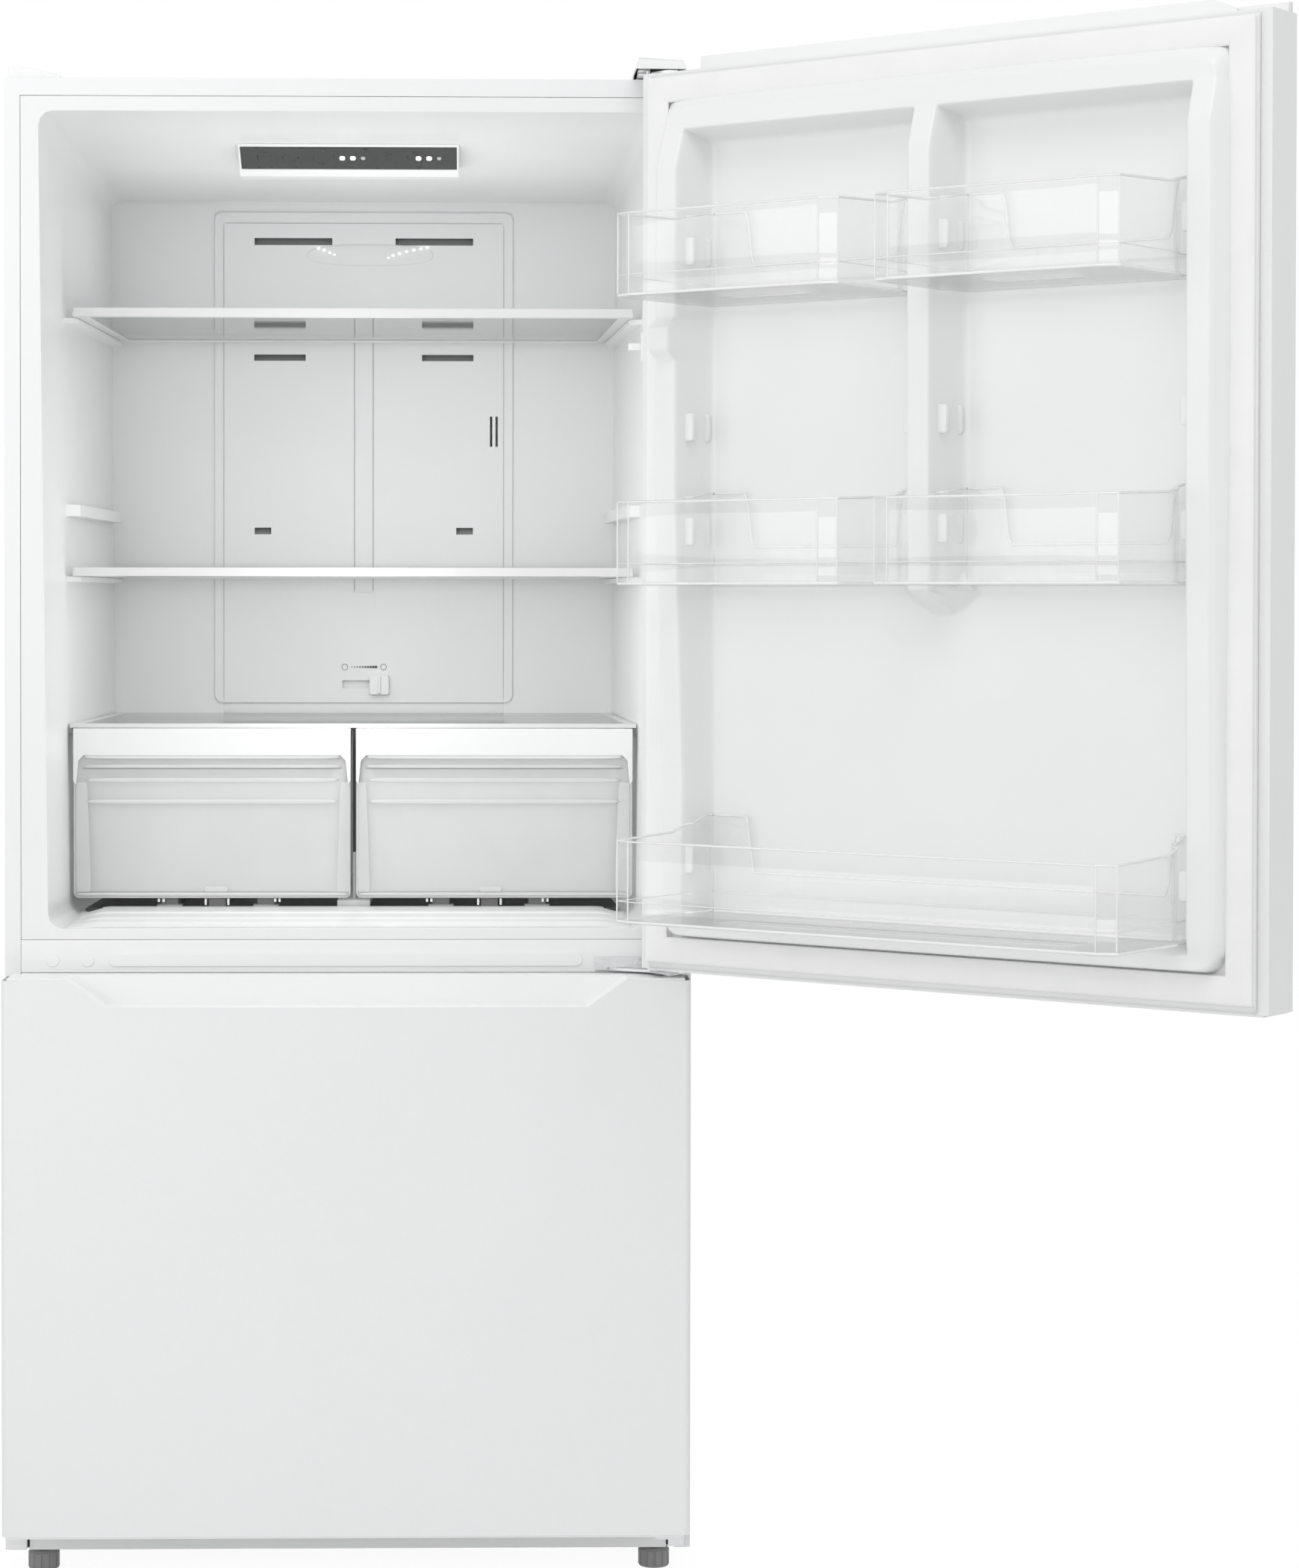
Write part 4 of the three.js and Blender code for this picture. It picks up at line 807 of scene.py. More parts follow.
def recess_profile(over, under, tall):
    """Height over the recess floor against the distance inside its edge: a bend of the first radius
    at the crest, a drafted wall and a bend of the second radius at the floor."""
    steepest = 1.38
    turn = np.linspace(0, steepest, 9)
    crest_bend = np.stack([over * np.sin(turn), tall - over * (1 - np.cos(turn))], -1)
    floor_bend = np.stack([under * (1 - np.sin(turn)), under * (1 - np.cos(turn))], -1)[::-1]
    drop = crest_bend[-1, 1] - floor_bend[0, 1]
    floor_bend[:, 0] += crest_bend[-1, 0] + drop / math.tan(steepest) - floor_bend[0, 0]
    return np.vstack([crest_bend, floor_bend])


def dyke_share(side, z, narrow):
    """How much of its height the dyke has reached: the least of three ramps, for the sides, the top
    and the foot, whose ends rise along a corner radius of 20; the sums round the ramp's two ends."""
    corner = 20.0 - np.sqrt(400.0 - np.clip(side - 311.0, 0.0, 19.0) ** 2)
    ramps = (335.0 - narrow - side) / 11.5, (1619.4 - z) / 19.0, (z - 716.6 - corner) / 4.0
    share = soft_min(soft_min(ramps[0], ramps[1], 0.9), ramps[2], 0.9)
    return np.interp(share, [0, 0.08, 0.86, 0.95, 1.06, 1.25], [0.0, 0.02, 0.86, 0.945, 0.99, 1.0])


def bow_depth(side, z, crest):
    """The bow below the centre rib: the least of three planes through its tip, up to the crest."""
    nose = 42 + 56 * (z - 1066) / 27
    lower = 42 + 2.204 * ((44 - side) * 0.561 + (z - 1088) * 0.828)
    upper = 42 + 2.36 * ((44 - side) * 0.908 - (z - 1088) * 0.419)
    return np.minimum(np.minimum(np.minimum(nose, lower), upper), crest)


def fridge_liner_relief(x, z, shapes):
    """Depth behind the door's front over (x, z). Outside, the dyke rises from the flange to its crest.
    Inside the union of two columns and the low room between them it falls to the floor."""
    side = np.abs(x)
    crest = crest_depth(x, z)
    narrow = np.interp(z, [900, 1200], [3.0, 0.0])
    rise = DOOR_FLANGE + (crest - DOOR_FLANGE) * dyke_share(side, z, narrow)
    edge = DYKE_INNER - narrow
    columns = inside_box(side, z, 10.4, edge, RECESS_LOW, RECESS_HIGH, 6)
    low_room = inside_box(x, z, -DYKE_INNER + narrow, edge, RECESS_LOW, RIB_FOOT, 6)
    inner = np.maximum(columns, low_room)
    tall = 98.5 - DOOR_FLOOR
    profile = recess_profile(shapes.crest_radius, shapes.recess_radius, tall)
    lowered = np.interp(inner, profile[:, 0], profile[:, 1] / tall)
    fall = DOOR_FLOOR + (crest - DOOR_FLOOR) * lowered
    depth = np.minimum(rise, fall)
    bow = bow_depth(side, z, crest)
    near_bow = (z < 1170) & (z > 1040) & (side < 70)
    return np.where(near_bow, np.maximum(soft_max(depth, bow, 3.0), depth), depth)


def fridge_liner_mesh(shapes):
    """The relief above as a sheet on grid lines that crowd at the walls."""
    half = lines(
        (0, 3.5), (7, 1.3), (26, 3.5), (50, 15), (262, 6), (286, 1.6), (309, 3), (319, 1.2), (334, 5),
        (363, 1),
    )
    x = np.concatenate([-half[:0:-1], half])
    z = lines(
        (680, 8), (712, 0.9), (722, 2), (728, 1.6), (748, 8), (780, 22), (1046, 4), (1062, 2.2),
        (1100, 5), (1130, 20), (1330, 2), (1390, 20), (1540, 4), (1564, 1.6), (1592, 2.5), (1600, 1.6),
        (1622, 6), (1651, 1),
    )
    x, z = np.meshgrid(x, z)
    depth = fridge_liner_relief(x, z, shapes)
    points = on_open_door(np.stack([x, depth, z], -1))[:, ::-1]
    return grid_mesh("fridge_door_liner_shell", points)


def lug_boxes():
    """Corners of the small upright lugs: pairs on both walls of each column at three heights, and two
    pairs by the bottom bin. A pair has one lug near the crest and one near the floor."""
    reach, sunk, tall, thick = 15.0, 2.0, 30.0, 7.0
    walls = np.array([[305, -1], [-305, 1], [11, 1], [-11, -1]], float)
    tops = (1471.0, 1282.0, 1170.0)
    rows = [[w, t, v] for w in range(4) for t in tops for v in LUG_DEPTHS]
    rows = np.array(rows + [[w, 817.0, v] for w in range(2) for v in LUG_DEPTHS])
    wall, outward = walls[rows[:, 0].astype(int)].T
    root, tip = wall - outward * sunk, wall + outward * reach
    low = np.stack([np.minimum(root, tip), rows[:, 2], rows[:, 1] - tall], -1)
    high = np.stack([np.maximum(root, tip), rows[:, 2] + thick, rows[:, 1]], -1)
    return low, high


# ---------------------------------------------------------------- seals


def seal_mesh(name, outer, place, shapes):
    """A closed profile carried round a rectangle: a profile point at inset o lies on the rectangle
    drawn o inside the outer one, so the corners are mitred. The profile has a foot, one fold on
    each side and a slightly rounded face."""
    fold = shapes.seal_fold
    profile = np.array(
        [
            (4.0, 61.3), (1.2, 61.4), (0.2, 62.1), (0.4, 62.9), (fold - 1.2, 64.4), (fold, 65.2),
            (fold - 1.0, 66.1), (1.6, 67.2), (0.8, 68.0), (0.9, 69.0), (1.7, 69.8), (3.2, 70.4),
            (6.5, 70.9), (10.0, 71.2), (13.5, 71.3), (17.0, 71.2), (20.5, 70.9), (23.6, 70.4),
            (25.2, 69.8), (26.0, 69.0), (26.1, 68.0), (25.2, 67.2), (27.6 - fold, 66.1),
            (26.6 - fold, 65.2), (27.8 - fold, 64.4), (26.5, 62.9), (26.8, 62.1), (25.8, 61.4), (23.0, 61.3),
        ]
    )
    x1, z0, z1 = outer
    sign = np.array([[-1, -1], [1, -1], [1, 1], [-1, 1]], float)
    corner = np.array([[-x1, z0], [x1, z0], [x1, z1], [-x1, z1]], float)
    widened = 1.12
    inset = profile[:, 0][:, None, None] * widened
    rings = corner[None] - sign[None] * inset
    following = np.roll(rings, -1, 1)
    share = np.concatenate([[0.0, 0.0015], np.linspace(0.03, 0.97, shapes.seal_sides), [0.9985]])
    run = rings[:, :, None] + (following - rings)[:, :, None] * share[None, None, :, None]
    run = run.reshape(len(profile), -1, 2)
    depth = np.broadcast_to(profile[:, 1][:, None], run.shape[:2])
    points = np.stack([run[..., 0], depth, run[..., 1]], -1)
    mesh = tidy(grid_mesh(name, place(points), wrap_rows=True, wrap_columns=True))
    mesh.set_sharp_from_angle(angle=math.radians(50))
    return mesh


# ---------------------------------------------------------------- door bins


def bin_plan(x0, x1):
    """The closed plan path of a bin with its outward directions: narrower between the dykes and
    bevelled at its front corners."""
    near, neck, far, slant = (BIN[k] for k in ("near", "neck", "far", "slant"))
    plan = rounded_path(
        [
            (x0 + 8, near), (x1 - 8, near), (x1 - 8, neck), (x1 - 1, neck + 4), (x1 - 1, far - slant),
            (x1 - 21, far), (x0 + 21, far), (x0 + 1, far - slant), (x0 + 1, neck + 4), (x0 + 8, neck),
        ],
        [6, 6, 2, 2, 1.6, 1.6, 1.6, 1.6, 2, 2],
        spacing=4.0,
    )
    along = np.roll(plan, -1, 0) - np.roll(plan, 1, 0)
    along /= np.linalg.norm(along, axis=1, keepdims=True)
    return plan, np.stack([along[:, 1], -along[:, 0]], -1)


def bin_rim(plan, x0, x1, front, tall, cutout, humps):
    """Height of the rim over the plan: high at the back with a hump at each end, lower in the cut-out
    between, falling along the ends to the front."""
    x, v = plan[:, 0], plan[:, 1]
    near, far = BIN["near"], BIN["far"]
    side = np.interp(v, [near, near + 12, near + 62, far], [tall, tall, front + 4, front])
    left, right = x0 + 7 + humps[0], x1 - 7 - humps[1]
    dip = ease((x - left) / 9) * ease((right - x) / 9)
    return np.where(v < near + 4, tall + (cutout - tall) * dip, side)


def bin_mesh(name, x0, x1, floor_z, rim):
    """A clear bin as one sheet. Rows run from the middle line of the floor out to the plan path, round
    a small radius and up to the rim. The wall steps in by a little above the floor, and swells at
    its rim along the front and sides."""
    radius, inset, swell = 4.0, 0.8, 1.0
    plan, _ = bin_plan(x0, x1)
    x, v = plan[:, 0], plan[:, 1]
    reach = (BIN["far"] - BIN["near"]) / 2 - 8
    middle = np.full_like(v, (BIN["near"] + BIN["far"]) / 2)
    spine = np.stack([np.clip(x, x0 + 8 + reach, x1 - 8 - reach), middle], -1)
    length = np.linalg.norm(plan - spine, axis=1)
    outward = (plan - spine) / length[:, None]
    rows = []
    for share in (0.0, 0.3, 0.6, 0.85):
        rows.append((spine + outward * (length - radius)[:, None] * share, np.zeros(len(x))))
    for angle in np.linspace(0.0, np.pi / 2, 5):
        step = outward * (length - radius + radius * np.sin(angle))[:, None]
        rows.append((spine + step, np.full(len(x), radius * (1 - np.cos(angle)))))
    rows += [(plan, np.full(len(x), 12.0)), (plan, np.full(len(x), BIN["step"] - 0.6))]
    wall, above = plan - outward * inset, BIN["step"] + 0.4
    rows += [(wall, above + (rim - 7 - above) * share) for share in (0.0, 0.25, 0.5, 0.75)]
    lip = outward * (swell * ease((v - BIN["neck"] - 2) / 10))[:, None]
    rows += [(wall, rim - 5.2), (wall + lip, rim - 4.2), (wall + lip, rim - 0.4), (wall + lip * 0.8, rim)]
    points = np.stack([np.column_stack([p[:, 0], p[:, 1], h + floor_z]) for p, h in rows])
    return tidy(grid_mesh(name, on_open_door(points), wrap_columns=True))


def bead_loops(paths, outward, radius, columns=8):
    """Closed round beads, one along each path (shape, point, xyz): circles spanned by the outward
    direction and by its cross product with the path's own direction."""
    along = np.roll(paths, -1, 1) - np.roll(paths, 1, 1)
    along /= np.linalg.norm(along, axis=2, keepdims=True)
    out = np.broadcast_to(np.column_stack([outward, np.zeros(len(outward))]), paths.shape)
    over = np.cross(along, out)
    over /= np.linalg.norm(over, axis=2, keepdims=True)
    angle = np.linspace(0, 2 * np.pi, columns, endpoint=False)[:, None]
    r = np.asarray(radius, float)[:, None, None, None]
    return paths[:, :, None] + r * (np.cos(angle) * out[:, :, None] + np.sin(angle) * over[:, :, None])


def bin_beads(name, x0, x1, floor_z, front, rim):
    """The moulded edges of a bin, drawn as bright, nearly opaque beads: a bead round its rim, one round its
    foot, a fine one at the wall's step, and upright ones at the four folds of the bevelled front corners. The
    edges are real; their brightness is a painted highlight standing in for the light caught along the clear
    plastic's edges."""
    plan, outward = bin_plan(x0, x1)
    heights = np.stack([rim - 1.0, np.full(len(plan), 2.2), np.full(len(plan), BIN["step"])])
    loops = np.stack([np.column_stack([plan - outward, h + floor_z]) for h in heights])
    points, quads = many(bead_loops(loops, outward, (1.25, 1.5, 0.55)), wrap_rows=True)
    far, slant = BIN["far"], BIN["slant"]
    folds = np.array([[x0 + 2, far - slant], [x0 + 21, far - 1], [x1 - 21, far - 1], [x1 - 2, far - slant]])
    height = np.array([2.5, 5.0, 60.0, front - 2.0, front + 1.0])
    thick = np.array([0.05, 0.95, 0.85, 0.85, 0.05])
    angle = np.linspace(0, 2 * np.pi, 8, endpoint=False)
    ring = np.stack([np.cos(angle), np.sin(angle)], -1)
    posts = folds[:, None, None] + thick[None, :, None, None] * ring[None, None]
    tall = np.broadcast_to(height[None, :, None, None] + floor_z, posts.shape[:3] + (1,))
    more, sides = many(np.concatenate([posts, tall], -1))
    quads = np.vstack([quads, sides + len(points)])
    return tidy(quad_mesh(name, on_open_door(np.vstack([points, more])), quads))


# ---------------------------------------------------------------- operators


class RefrigeratorPiece:
    """What the operators share."""

    bl_options = {"REGISTER", "UNDO"}


class FRIDGE_OT_cabinet(RefrigeratorPiece, bpy.types.Operator):
    """Finish the steel cabinet, its back, base and middle rail"""

    bl_idname = "fridge.cabinet"
    bl_label = "Cabinet"

    def execute(self, context):
        shapes = context.scene.fridge_shapes
        softened("cabinet_wrapper", "white_steel", 0.0)
        softened("mid_rail", "white_plastic", shapes.sheet_edge)
        softened("base_rail", "white_steel", shapes.sheet_edge)
        dress("cabinet_back", "galvanised_steel")
        dress("cabinet_foam", "foam")
        return {"FINISHED"}


def lower_spare_ribs(points):
    """Moves the spare ribs of the side walls down by 45.5 and makes them 7.5 thicker. They keep to
    the walls, which draw in by the draft share of the way down."""
    draft = 0.0095
    low, high = in_room([[-400.0, 174.0, 1229.0], [400.0, 572.0, 1237.0]])
    rib = np.all((points > low) & (points < high), axis=1)
    drop = np.where(points[:, 2] < (low[2] + high[2]) / 2, 0.053, 0.0455)
    points[rib, 2] -= drop[rib]
    points[rib, 0] -= np.sign(points[rib, 0]) * draft * drop[rib]
    return points


def rear_panels():
    """The moulded wall beside and above the air tower, which it almost meets: two upright blocks,
    whose outer sides move out as the compartment does, and a strip along the top."""
    face, outer, foot, top, widening = 583.0, 315.0, 912.0, 1584.6, 6.6
    low = [[-outer, face, foot], [TOWER_HALF, face, foot], [-189.5, face, TOWER_TOP + 1]]
    high = [[-TOWER_HALF, WALL_BACK, top], [outer, WALL_BACK, top], [189.5, WALL_BACK, top]]
    shape = pillow(low, high, 40.0, 33, 48)
    outside = np.sign(shape[..., 0]) * (np.abs(shape[..., 0]) > 250)
    shape[..., 0] += outside * widening * (shape[..., 2] - foot) / 672.0
    return shape


class FRIDGE_OT_compartments(RefrigeratorPiece, bpy.types.Operator):
    """Soften the liners of the two compartments"""

    bl_idname = "fridge.compartments"
    bl_label = "Compartment liners"

    def execute(self, context):
        liner = softened("fridge_liner", "liner_plastic", 1.2, 3)
        move_points(liner, lower_spare_ribs)
        softened("freezer_liner", "liner_plastic", 1.2, 2)
        add_shapes("rear_wall_panels", rear_panels(), "liner_plastic")
        return {"FINISHED"}


def on_tower(x, z, half_x, half_z, rise, power, rows, sunk=0.2):
    """Low caps on the tower's face, each with its middle at (x, z)."""
    x, z, half_x, half_z = np.broadcast_arrays(x, z, half_x, half_z)
    low = np.stack([x - half_x, np.full(len(x), TOWER_FRONT - rise), z - half_z], -1)
    high = np.stack([x + half_x, np.full(len(x), TOWER_FRONT + sunk), z + half_z], -1)
    return pillow(low, high, power, rows, 16)


def tower_seams():
    """Fine lines on the tower's face: two beside its channel and its own outline above the foot."""
    side, half = TOWER_HALF - 0.2, 0.6
    x = [-11.6, 11.6, -side, side, 0.0]
    z = [1266.0, 1266.0, 1254.25, 1254.25, TOWER_TOP - 0.4]
    return on_tower(x, z, [0.7, 0.7, half, half, 176.0], [175.0, 175.0, 302.25, 302.25, half], 0.6, 8, 9, 0.5)


def painted_lens_glints():
    """Painted glints: small glowing caps on the lamp's lens that stand in for the bright reflections of its
    LEDs; place across, height and half width.
    """
    x, z, half = np.array([
        [-57, 1525, 1.6], [-50, 1522.5, 1.9], [-43, 1519.5, 1.6], [-37, 1517, 1.2], [31, 1513, 1.2],
        [37, 1516, 1.8], [45, 1518.5, 2.0], [54, 1521, 1.6], [63, 1523, 1.9], [72, 1525, 1.4],
        [80, 1526.5, 1.1],
    ]).T
    return on_tower(x, z, half, half * 0.7, 3.4, 2.5, 9)


def vent_vanes():
    """The slanted vane behind each of the tower's eight vents, in a grey that is painted shade of the dark
    openings: place across, height, width and height of the vents on one side."""
    vents = np.array([[89, 1533.5, 98, 9], [106, 1427, 65, 9], [106, 1387, 65, 8], [127.5, 1168, 21, 8.5]])
    x, z, width, height = np.vstack([vents, vents * [-1, 1, 1, 1]]).T
    low_y, high_y = np.full(8, TOWER_FRONT + 3.4), np.full(8, TOWER_FRONT + 4.6)
    low = np.column_stack([x - width / 2 - 1, low_y, z - height / 2 - 2])
    high = np.column_stack([x + width / 2 + 1, high_y, z + height / 2 + 2])
    vanes = pillow(low, high, 12, 9, 16)
    vanes[..., 1] += (vanes[..., 2] - low[:, None, None, 2]) * 0.7
    return vanes


class FRIDGE_OT_air_tower(RefrigeratorPiece, bpy.types.Operator):
    """Finish the air tower with its vents, lamp, scale and slide knob"""

    bl_idname = "fridge.air_tower"
    bl_label = "Air tower"

    def execute(self, context):
        shapes = context.scene.fridge_shapes
        softened("air_tower", "liner_plastic", shapes.edge, 2)
        softened("temperature_knob", "white_plastic", 0.8, 3)
        add_shapes("tower_seams", tower_seams(), "mark_pale")
        foot = pillow([-187.0, 583.5, 936.5], [187.0, 612.0, 951.4], 14, 13, 40)
        add_shapes("tower_foot", foot, "liner_plastic")
        dome = pillow([-72.0, TOWER_FRONT - 2.6, 1503.0], [88.0, TOWER_FRONT + 2.2, 1530.0], 2.6, 25, 64)
        add_shapes("light_dome", dome, "liner_plastic", stands_for=["light_lens"])
        # Painted glints on the lens, which glow instead of being lit.
        add_shapes("painted_lens_glints", painted_lens_glints(), "painted_glint")
        # Painted shade inside the vents, carried by the vanes' grey.
        add_shapes("vent_vanes", vent_vanes(), "vent_painted_shade_grey")
        slot_back = pillow([-34.0, TOWER_FRONT + 6.6, 962.0], [39.0, TOWER_FRONT + 8.0, 986.0], 12, 9, 16)
        add_shapes("knob_slot_back", slot_back, "slot_plastic")
        rings = flat_rings([(x, TOWER_FRONT - 0.02, SCALE_HEIGHT) for x in (-24.0, 25.0)], 3.2, 4.1, 0.5)
        add_shapes("scale_rings", rings, "mark_grey", closed=False)
        size = np.linspace(1.2, 3.4, 10)
        steps = on_tower(np.linspace(-15, 15.5, 10), SCALE_HEIGHT, size / 2, size / 2, 0.6, 8, 7)
        add_shapes("scale_steps", steps, "scale_grey")
        return {"FINISHED"}


def on_display(points):
    """The display's own frame (x, distance down its tilted face, height off it) to the row's frame."""
    x, down, off = np.moveaxis(np.asarray(points, float), -1, 0)
    along, across = 0.8713, 0.4907
    y = 190.0 + along * down - across * off
    z = 1607.9 - across * down - along * off
    return in_room(np.stack([x, y, z], -1))


def display_marks(places, half_x, half_down, height, power):
    """Low rounded caps on the display's face, one at each x."""
    places = np.asarray(places, float)
    middle = np.full(len(places), 28.0)
    low = np.stack([places - half_x, middle - half_down, np.full(len(places), -0.9)], -1)
    high = np.stack([places + half_x, middle + half_down, np.full(len(places), height - 0.3)], -1)
    return pillow(low, high, power, 9, 20)


class FRIDGE_OT_controls(RefrigeratorPiece, bpy.types.Operator):
    """Finish the control box and light switch"""

    bl_idname = "fridge.controls"
    bl_label = "Controls"

    def execute(self, context):
        shapes = context.scene.fridge_shapes
        softened("control_housing", "white_plastic", shapes.edge)
        softened("control_panel", "panel_grey", 0.5)
        for name, places, half_x, half_down, power, look, height in (
            ("display_bars", (-113.2, -83.6, -48.1, -24.2, 37.9, 61.6), 0.5, 4.6, 8.0, "mark_dark", 0.6),
            ("display_dots", (-65.8, 25.1), 1.3, 1.8, 2.0, "mark_dark", 0.6),
            ("display_lamps_lit", (-14.6, -2.3, 74.0, 86.3), 3.2, 3.9, 3.0, "lamp_lit", 0.8),
            ("display_lamps_dim", (9.6, 98.0), 2.5, 3.0, 3.0, "lamp_dim", 0.7),
        ):
            marks = display_marks(places, half_x, half_down, height, power)
            add_shapes(name, marks, look, place=on_display)
        softened("light_switch_plate", "white_plastic", 0.5)
        softened("light_switch_lever", "white_plastic", 0.5)
        return {"FINISHED"}


class FRIDGE_OT_shelves(RefrigeratorPiece, bpy.types.Operator):
    """Finish the two glass shelves and the crisper cover"""

    bl_idname = "fridge.shelves"
    bl_label = "Shelves"

    def execute(self, context):
        for pane in ("shelf_upper", "shelf_lower", "crisper_cover"):
            softened(f"{pane}_frame", "trim_plastic", 0.7)
            softened(f"{pane}_glass", "clear_glass", 0.4)
        for level, top in SHELF_TOPS.items():
            rail = pillow([-306.0, 563.0, top - 10.6], [306.0, 574.6, top - 2.6], 12, 9, 24)
            body = frame["nodes"][f"shelf_{level}_frame"]["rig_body"]
            add_shapes(f"shelf_{level}_rear_rail", rail, "white_plastic", body)
        return {"FINISHED"}


def crisper_trim():
    """Bars on the right crisper's front plate by finish, as low and high corners: the white lower edge of the
    fascia, the moulded lines below it, the two lines of the bottom rim, the clip, and two grey bars of
    painted shade, one under the fascia's first moulded line and one above the bottom rim, for the shade in
    their grooves."""
    x0, x1, face = 13.0, 312.0, CRISPER_FRONT
    return (
        ("lower_edge", 6.0, "white_plastic", [[14.0, 165.0, 898.0, 311.0, 167.6, 903.0]]),
        ("lines", 5.0, "frosted_rib", [
            [x0, 165.9, 887.2, x1, face, 891.0],
            [x0 + 3, 166.7, 870.8, x1 - 3, face, 875.4],
            [x0 + 4, 164.9, 845.9, x1 - 4, face, 851.1],
            [4.2, 164.9, 740.0, 320.8, face, 743.6],
            [4.6, 165.6, 737.4, 320.4, 168.6, 739.0],
        ]),
        # Painted shade: grey bars stand in for the shade in the grooves.
        ("groove_painted_shade", 6.0, "mark_grey", [
            [x0, 167.0, 885.9, x1, face + 0.05, 886.9],
            [x0 + 6, 167.2, 744.2, x1 - 6, face + 0.05, 744.7],
        ]),
        ("clip", 8.0, "frosted_rib", [[145.0, 166.3, 744.2, 171.0, 167.8, 750.8]]),
    )


def crisper_ribs():
    """Upright strips of the right crisper's front plate: a flat one at each end whose inner edge leans
    inwards in proportion to the distance below its top, and a round one on each outer edge."""
    foot, top, lean = 744.0, 871.0, 4.6
    low = np.array([[4.5, 166.6, foot], [306.0, 166.6, foot], [3.6, 166.0, 741.0], [319.6, 166.0, 741.0]])
    high = np.array([[15.0, 167.8, top], [319.0, 167.8, top], [5.4, 168.6, 872.0], [321.4, 168.6, 872.0]])
    shape = pillow(low, high, 8.0, 13, 20)
    down = np.clip((top - shape[..., 2]) / (top - foot), 0, 1)
    middle = (low[:, 0] + high[:, 0])[:, None, None] / 2
    inward = np.array([1.0, -1.0, 0.0, 0.0])[:, None, None]
    inner_edge = (shape[..., 0] - middle) * inward > 0
    shape[..., 0] += inner_edge * inward * lean * down
    return shape


def sill_mesh(name):
    """The liner's floor in front of the crispers: three low steps, each a smooth step of the depth,
    that die away towards the side walls."""
    ends = np.linspace(270, 313, 9)
    x = np.concatenate([-ends[::-1], lines((-264, 12), (264, 1)), ends])
    y = lines((13, 1.5), (40, 4), (52, 1.5), (72, 6), (100, 1.5), (116, 8), (172, 1.0), (176, 1))
    x, y = np.meshgrid(x, y)
    steps = 3.6 * ease((y - 13) / 22) + 1.5 * ease((y - 54) / 12) + 1.6 * ease((y - 102) / 10)
    stepped = 718.4 + steps + 2.2 * (y - 13) / 160
    flat = 717.6 + 3.9 * (y - 13) / 163
    share = ease((313 - np.abs(x)) / 34)
    z = flat + (stepped - flat) * share - 4.0 * ease((y - 173.4) / 2.6)
    return grid_mesh(name, in_room(np.stack([x, y, z], -1)))


class FRIDGE_OT_crispers(RefrigeratorPiece, bpy.types.Operator):
    """Finish the crispers and the base they run on"""

    bl_idname = "fridge.crispers"
    bl_label = "Crispers"

    def execute(self, context):
        shapes = context.scene.fridge_shapes
        softened("crisper_base", "runner_plastic_painted_shade", 0.8)
        thicken(add_piece("liner_sill", sill_mesh("liner_sill"), "liner_plastic", "cabinet"), 1.2)
        for side, sign in (("left", -1.0), ("right", 1.0)):
            softened(f"crisper_{side}_tub", "frosted_plastic", 0.6)
            softened(f"crisper_{side}_front", "white_plastic", shapes.edge)
            body, mirror = f"crisper_{side}", np.array([sign, 1.0, 1.0])
            for part, power, look, bars in crisper_trim():
                bars = np.array(bars)
                shape = pillow(bars[:, :3], bars[:, 3:], power, 9, 20) * mirror
                add_shapes(f"crisper_{side}_{part}", shape, look, body)
            add_shapes(f"crisper_{side}_ribs", crisper_ribs() * mirror, "frosted_rib", body)
        at = np.array([-212.0, -101.0, 101.0, 212.0])
        low = np.stack([at - 15, np.full(4, 170.0), np.full(4, 725.8)], -1)
        high = np.stack([at + 15, np.full(4, 190.0), np.full(4, 729.4)], -1)
        add_shapes("runner_feet", pillow(low, high, 8, 9, 20), "mark_grey")
        at = np.array([85.0, 90.0, 144.0, 170.0, 218.5, 224.0])
        at = np.concatenate([-at[::-1], at])
        foot = np.where(np.abs(np.abs(at) - 157) < 20, 729.0, 732.5)
        low = np.stack([at - 1.3, np.full(12, 167.0), foot], -1)
        high = np.stack([at + 1.3, np.full(12, 171.0), np.full(12, 736.6)], -1)
        add_shapes("runner_hooks", pillow(low, high, 6, 9, 16), "white_plastic")
        return {"FINISHED"}


class FRIDGE_OT_door_skins(RefrigeratorPiece, bpy.types.Operator):
    """Finish the steel skins of both doors and their end caps"""

    bl_idname = "fridge.door_skins"
    bl_label = "Door skins and caps"

    def execute(self, context):
        shapes = context.scene.fridge_shapes
        for door in ("fridge", "freezer"):
            softened(f"{door}_door_skin", "pebbled_steel", shapes.sheet_edge)
            for end in ("top", "bottom"):
                softened(f"{door}_door_{end}_cap", "white_plastic", shapes.edge)
        return {"FINISHED"}


class FRIDGE_OT_door_liners(RefrigeratorPiece, bpy.types.Operator):
    """Make the fridge door's moulded liner with its lugs, and soften the freezer door's"""

    bl_idname = "fridge.door_liners"
    bl_label = "Door liners"

    def execute(self, context):
        shapes = context.scene.fridge_shapes
        name, body, stands_for = "fridge_door_liner_shell", "fridge_door", ["fridge_door_liner"]
        shell = add_piece(name, fridge_liner_mesh(shapes), "liner_plastic", body, stands_for=stands_for)
        thicken(shell, shapes.liner_wall)
        lugs = pillow(*lug_boxes(), 7, 9, 16)
        add_shapes("bin_lugs", lugs, "liner_plastic", body, place=on_open_door)
        softened("freezer_door_liner", "liner_plastic", 1.0)
        return {"FINISHED"}


